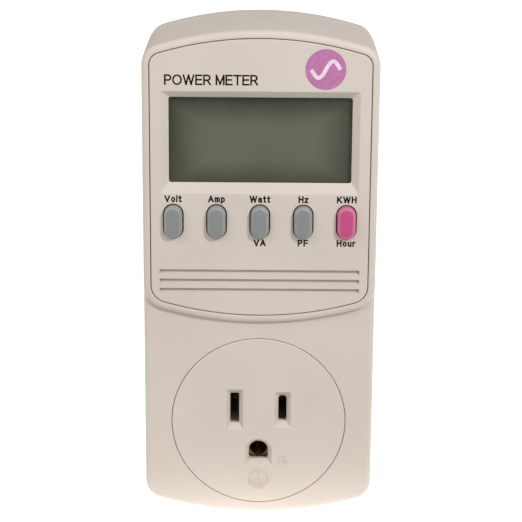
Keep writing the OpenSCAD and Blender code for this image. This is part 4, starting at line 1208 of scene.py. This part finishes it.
class METER_OT_label(bpy.types.Operator):
    """Rule the empty lines of the blank rating label"""
    bl_idname = "meter.label"
    bl_label = "Rating label"

    def execute(self, context):
        size = span("rating_label")
        centre = middle("rating_label")
        rows = bar_tree().make("label_rules", [(0, -0.045, centre[2] - size[2] / 2 + 6.0)], {
            "Count": 5, "Pitch": 4.5, "Length": size[0] - 8.0, "Mouth Width": 0.3, "Root Width": 0.3,
            "Root Lift": 0.0, "Depth": 0.03, "Corner": 0.0, "Finish": finish_for("black_plastic")})
        settle(rows, ink_finish("label_ink", (0.12, 0.12, 0.13)), flat=False)
        return {"FINISHED"}


class METER_OT_inner_parts(bpy.types.Operator):
    """Finish every frame node that shows its own shape"""
    bl_idname = "meter.inner_parts"
    bl_label = "Inner parts"

    def execute(self, context):
        slots = {p["node"]: p["material_slot"] for p in frame["record"]["subparts"]}
        for node, thing in frame["nodes"].items():
            for place in thing.material_slots:
                place.link = "OBJECT"
                place.material = finish_for(slots[node])
        return {"FINISHED"}


# Places on the stage in metres and angles in degrees
MAIN_PLACE, MAIN_SIZE = (0.41, -0.60, 0.47), 0.12
FILL_PLACE, FILL_SIZE = (-0.54, -0.50, 0.45), 0.55
LAMP_AIM = (0, -0.03, -0.02)
FLOOR_DARK_Y, FLOOR_PALE_Y, FLOOR_DARK = -0.058, -0.044, 0.55
CAMERA_PLACE = (0.000883, -0.47216, 0.09823)
CAMERA_PITCH, CAMERA_YAW, CAMERA_ROLL = 15.267, -0.067, 0.407


class METER_OT_stage(bpy.types.Operator):
    """Set up the pale floor, the soft lamps and the camera"""
    bl_idname = "meter.stage"
    bl_label = "Stage"

    def execute(self, context):
        scene = context.scene
        light = scene.meter_stage
        self.floor(scene, light)
        self.lamp("main_lamp", MAIN_PLACE, MAIN_SIZE, light.main_watts)
        self.lamp("fill_lamp", FILL_PLACE, FILL_SIZE, light.fill_watts)
        world = bpy.data.worlds.new("surroundings")
        world.use_nodes = True
        world.node_tree.nodes["Background"].inputs["Color"].default_value = (1, 1, 1, 1)
        world.node_tree.nodes["Background"].inputs["Strength"].default_value = light.world
        scene.world = world
        scene.view_settings.view_transform = "Standard"
        self.camera(scene, light)
        return {"FINISHED"}

    @staticmethod
    def floor(scene, light):
        """A wide floor just under the lowest point: pale and glowing behind, darker and plain in front."""
        bm = bmesh.new()
        bmesh.ops.create_grid(bm, x_segments=1, y_segments=1, size=4.0)
        mesh = bpy.data.meshes.new("floor")
        bmesh.ops.translate(bm, verts=bm.verts, vec=(0, 0, CAD_BOX[0][2] - 0.0002))
        bm.to_mesh(mesh)
        bm.free()
        ground = bpy.data.objects.new("floor", mesh)
        scene.collection.objects.link(ground)
        made, tree, shader, place = blank_finish("floor_paper")
        tone = scene.meter_colours.floor
        drift = spread(tree, noise(tree, place, 0.4, 2.0), 0.3, 0.7)
        shade = mixed(tree, drift, tint(tone, 0.995), tint(tone, 1.005))
        axes = tree.nodes.new("ShaderNodeSeparateXYZ")
        tree.links.new(place, axes.inputs["Vector"])
        behind = spread(tree, axes.outputs["Y"], FLOOR_DARK_Y, FLOOR_PALE_Y, 0.0, 1.0, True)
        tree.links.new(mixed(tree, behind, tint(tone, FLOOR_DARK), shade), shader.inputs["Base Color"])
        tree.links.new(shade, shader.inputs["Emission Color"])
        glow = sums(tree, "MULTIPLY", behind, light.glow)
        tree.links.new(glow, shader.inputs["Emission Strength"])
        shader.inputs["Roughness"].default_value = 0.9
        mesh.materials.append(made)

    @staticmethod
    def lamp(name, where, size, watts):
        """A soft square lamp aimed at the meter's middle."""
        lamp = bpy.data.lights.new(name, "AREA")
        lamp.size = size
        lamp.energy = watts
        thing = bpy.data.objects.new(name, lamp)
        aim = Vector(LAMP_AIM) - Vector(where)
        thing.matrix_world = Matrix.Translation(where) @ aim.to_track_quat("-Z", "Y").to_matrix().to_4x4()
        bpy.context.scene.collection.objects.link(thing)

    @staticmethod
    def camera(scene, light):
        """The camera in front of the meter, a little above it."""
        lens = bpy.data.cameras.new("camera")
        lens.lens = light.lens_mm
        lens.sensor_width = 36.0
        lens.clip_start = 0.02
        thing = bpy.data.objects.new("camera", lens)
        pitch, yaw, roll = map(math.radians, (CAMERA_PITCH, CAMERA_YAW, CAMERA_ROLL))
        ahead = Vector((math.sin(yaw) * math.cos(pitch), math.cos(yaw) * math.cos(pitch), -math.sin(pitch)))
        right = Vector((math.cos(yaw), -math.sin(yaw), 0.0))
        up = right.cross(ahead)
        right, up = (math.cos(roll) * right + math.sin(roll) * up,
                     math.cos(roll) * up - math.sin(roll) * right)
        turn = Matrix((right, up, -ahead)).transposed().to_4x4()
        thing.matrix_world = Matrix.Translation(CAMERA_PLACE) @ turn
        scene.collection.objects.link(thing)
        scene.camera = thing


class METER_PT_sidebar(bpy.types.Panel):
    """Lists the meter's pieces, sizes and colours"""
    bl_idname = "METER_PT_sidebar"
    bl_label = "Power meter"
    bl_space_type = "VIEW_3D"
    bl_region_type = "UI"
    bl_category = "Meter"

    def draw(self, context):
        column = self.layout.column()
        for operator in OPERATORS:
            column.operator(operator.bl_idname)
        for name in GROUPS:
            group = getattr(context.scene, name)
            for key in group.__annotations__:
                column.prop(group, key)


GROUPS = {"meter_sizes": MeterSizes, "meter_window": MeterWindow, "meter_outlet": MeterOutlet,
          "meter_colours": MeterColours, "meter_stage": MeterStage}
OPERATORS = (METER_OT_inner_parts, METER_OT_front_shell, METER_OT_back_cover, METER_OT_fascia,
             METER_OT_display, METER_OT_keys, METER_OT_outlet, METER_OT_earth_mark,
             METER_OT_printing, METER_OT_badge, METER_OT_prongs, METER_OT_screws,
             METER_OT_label, METER_OT_stage)


def register():
    """Registers every class and hangs the property groups on the scene."""
    for name, group in GROUPS.items():
        bpy.utils.register_class(group)
        setattr(bpy.types.Scene, name, bpy.props.PointerProperty(type=group))
    for operator in OPERATORS:
        bpy.utils.register_class(operator)
    bpy.utils.register_class(METER_PT_sidebar)


def unregister():
    """Takes it all away again."""
    bpy.utils.unregister_class(METER_PT_sidebar)
    for operator in reversed(OPERATORS):
        bpy.utils.unregister_class(operator)
    for name, group in GROUPS.items():
        delattr(bpy.types.Scene, name)
        bpy.utils.unregister_class(group)


def main():
    """Registers the classes and makes every piece in order."""
    register()
    for operator in OPERATORS:
        area, name = operator.bl_idname.split(".")
        getattr(getattr(bpy.ops, area), name)()


if __name__ == "__main__":
    main()
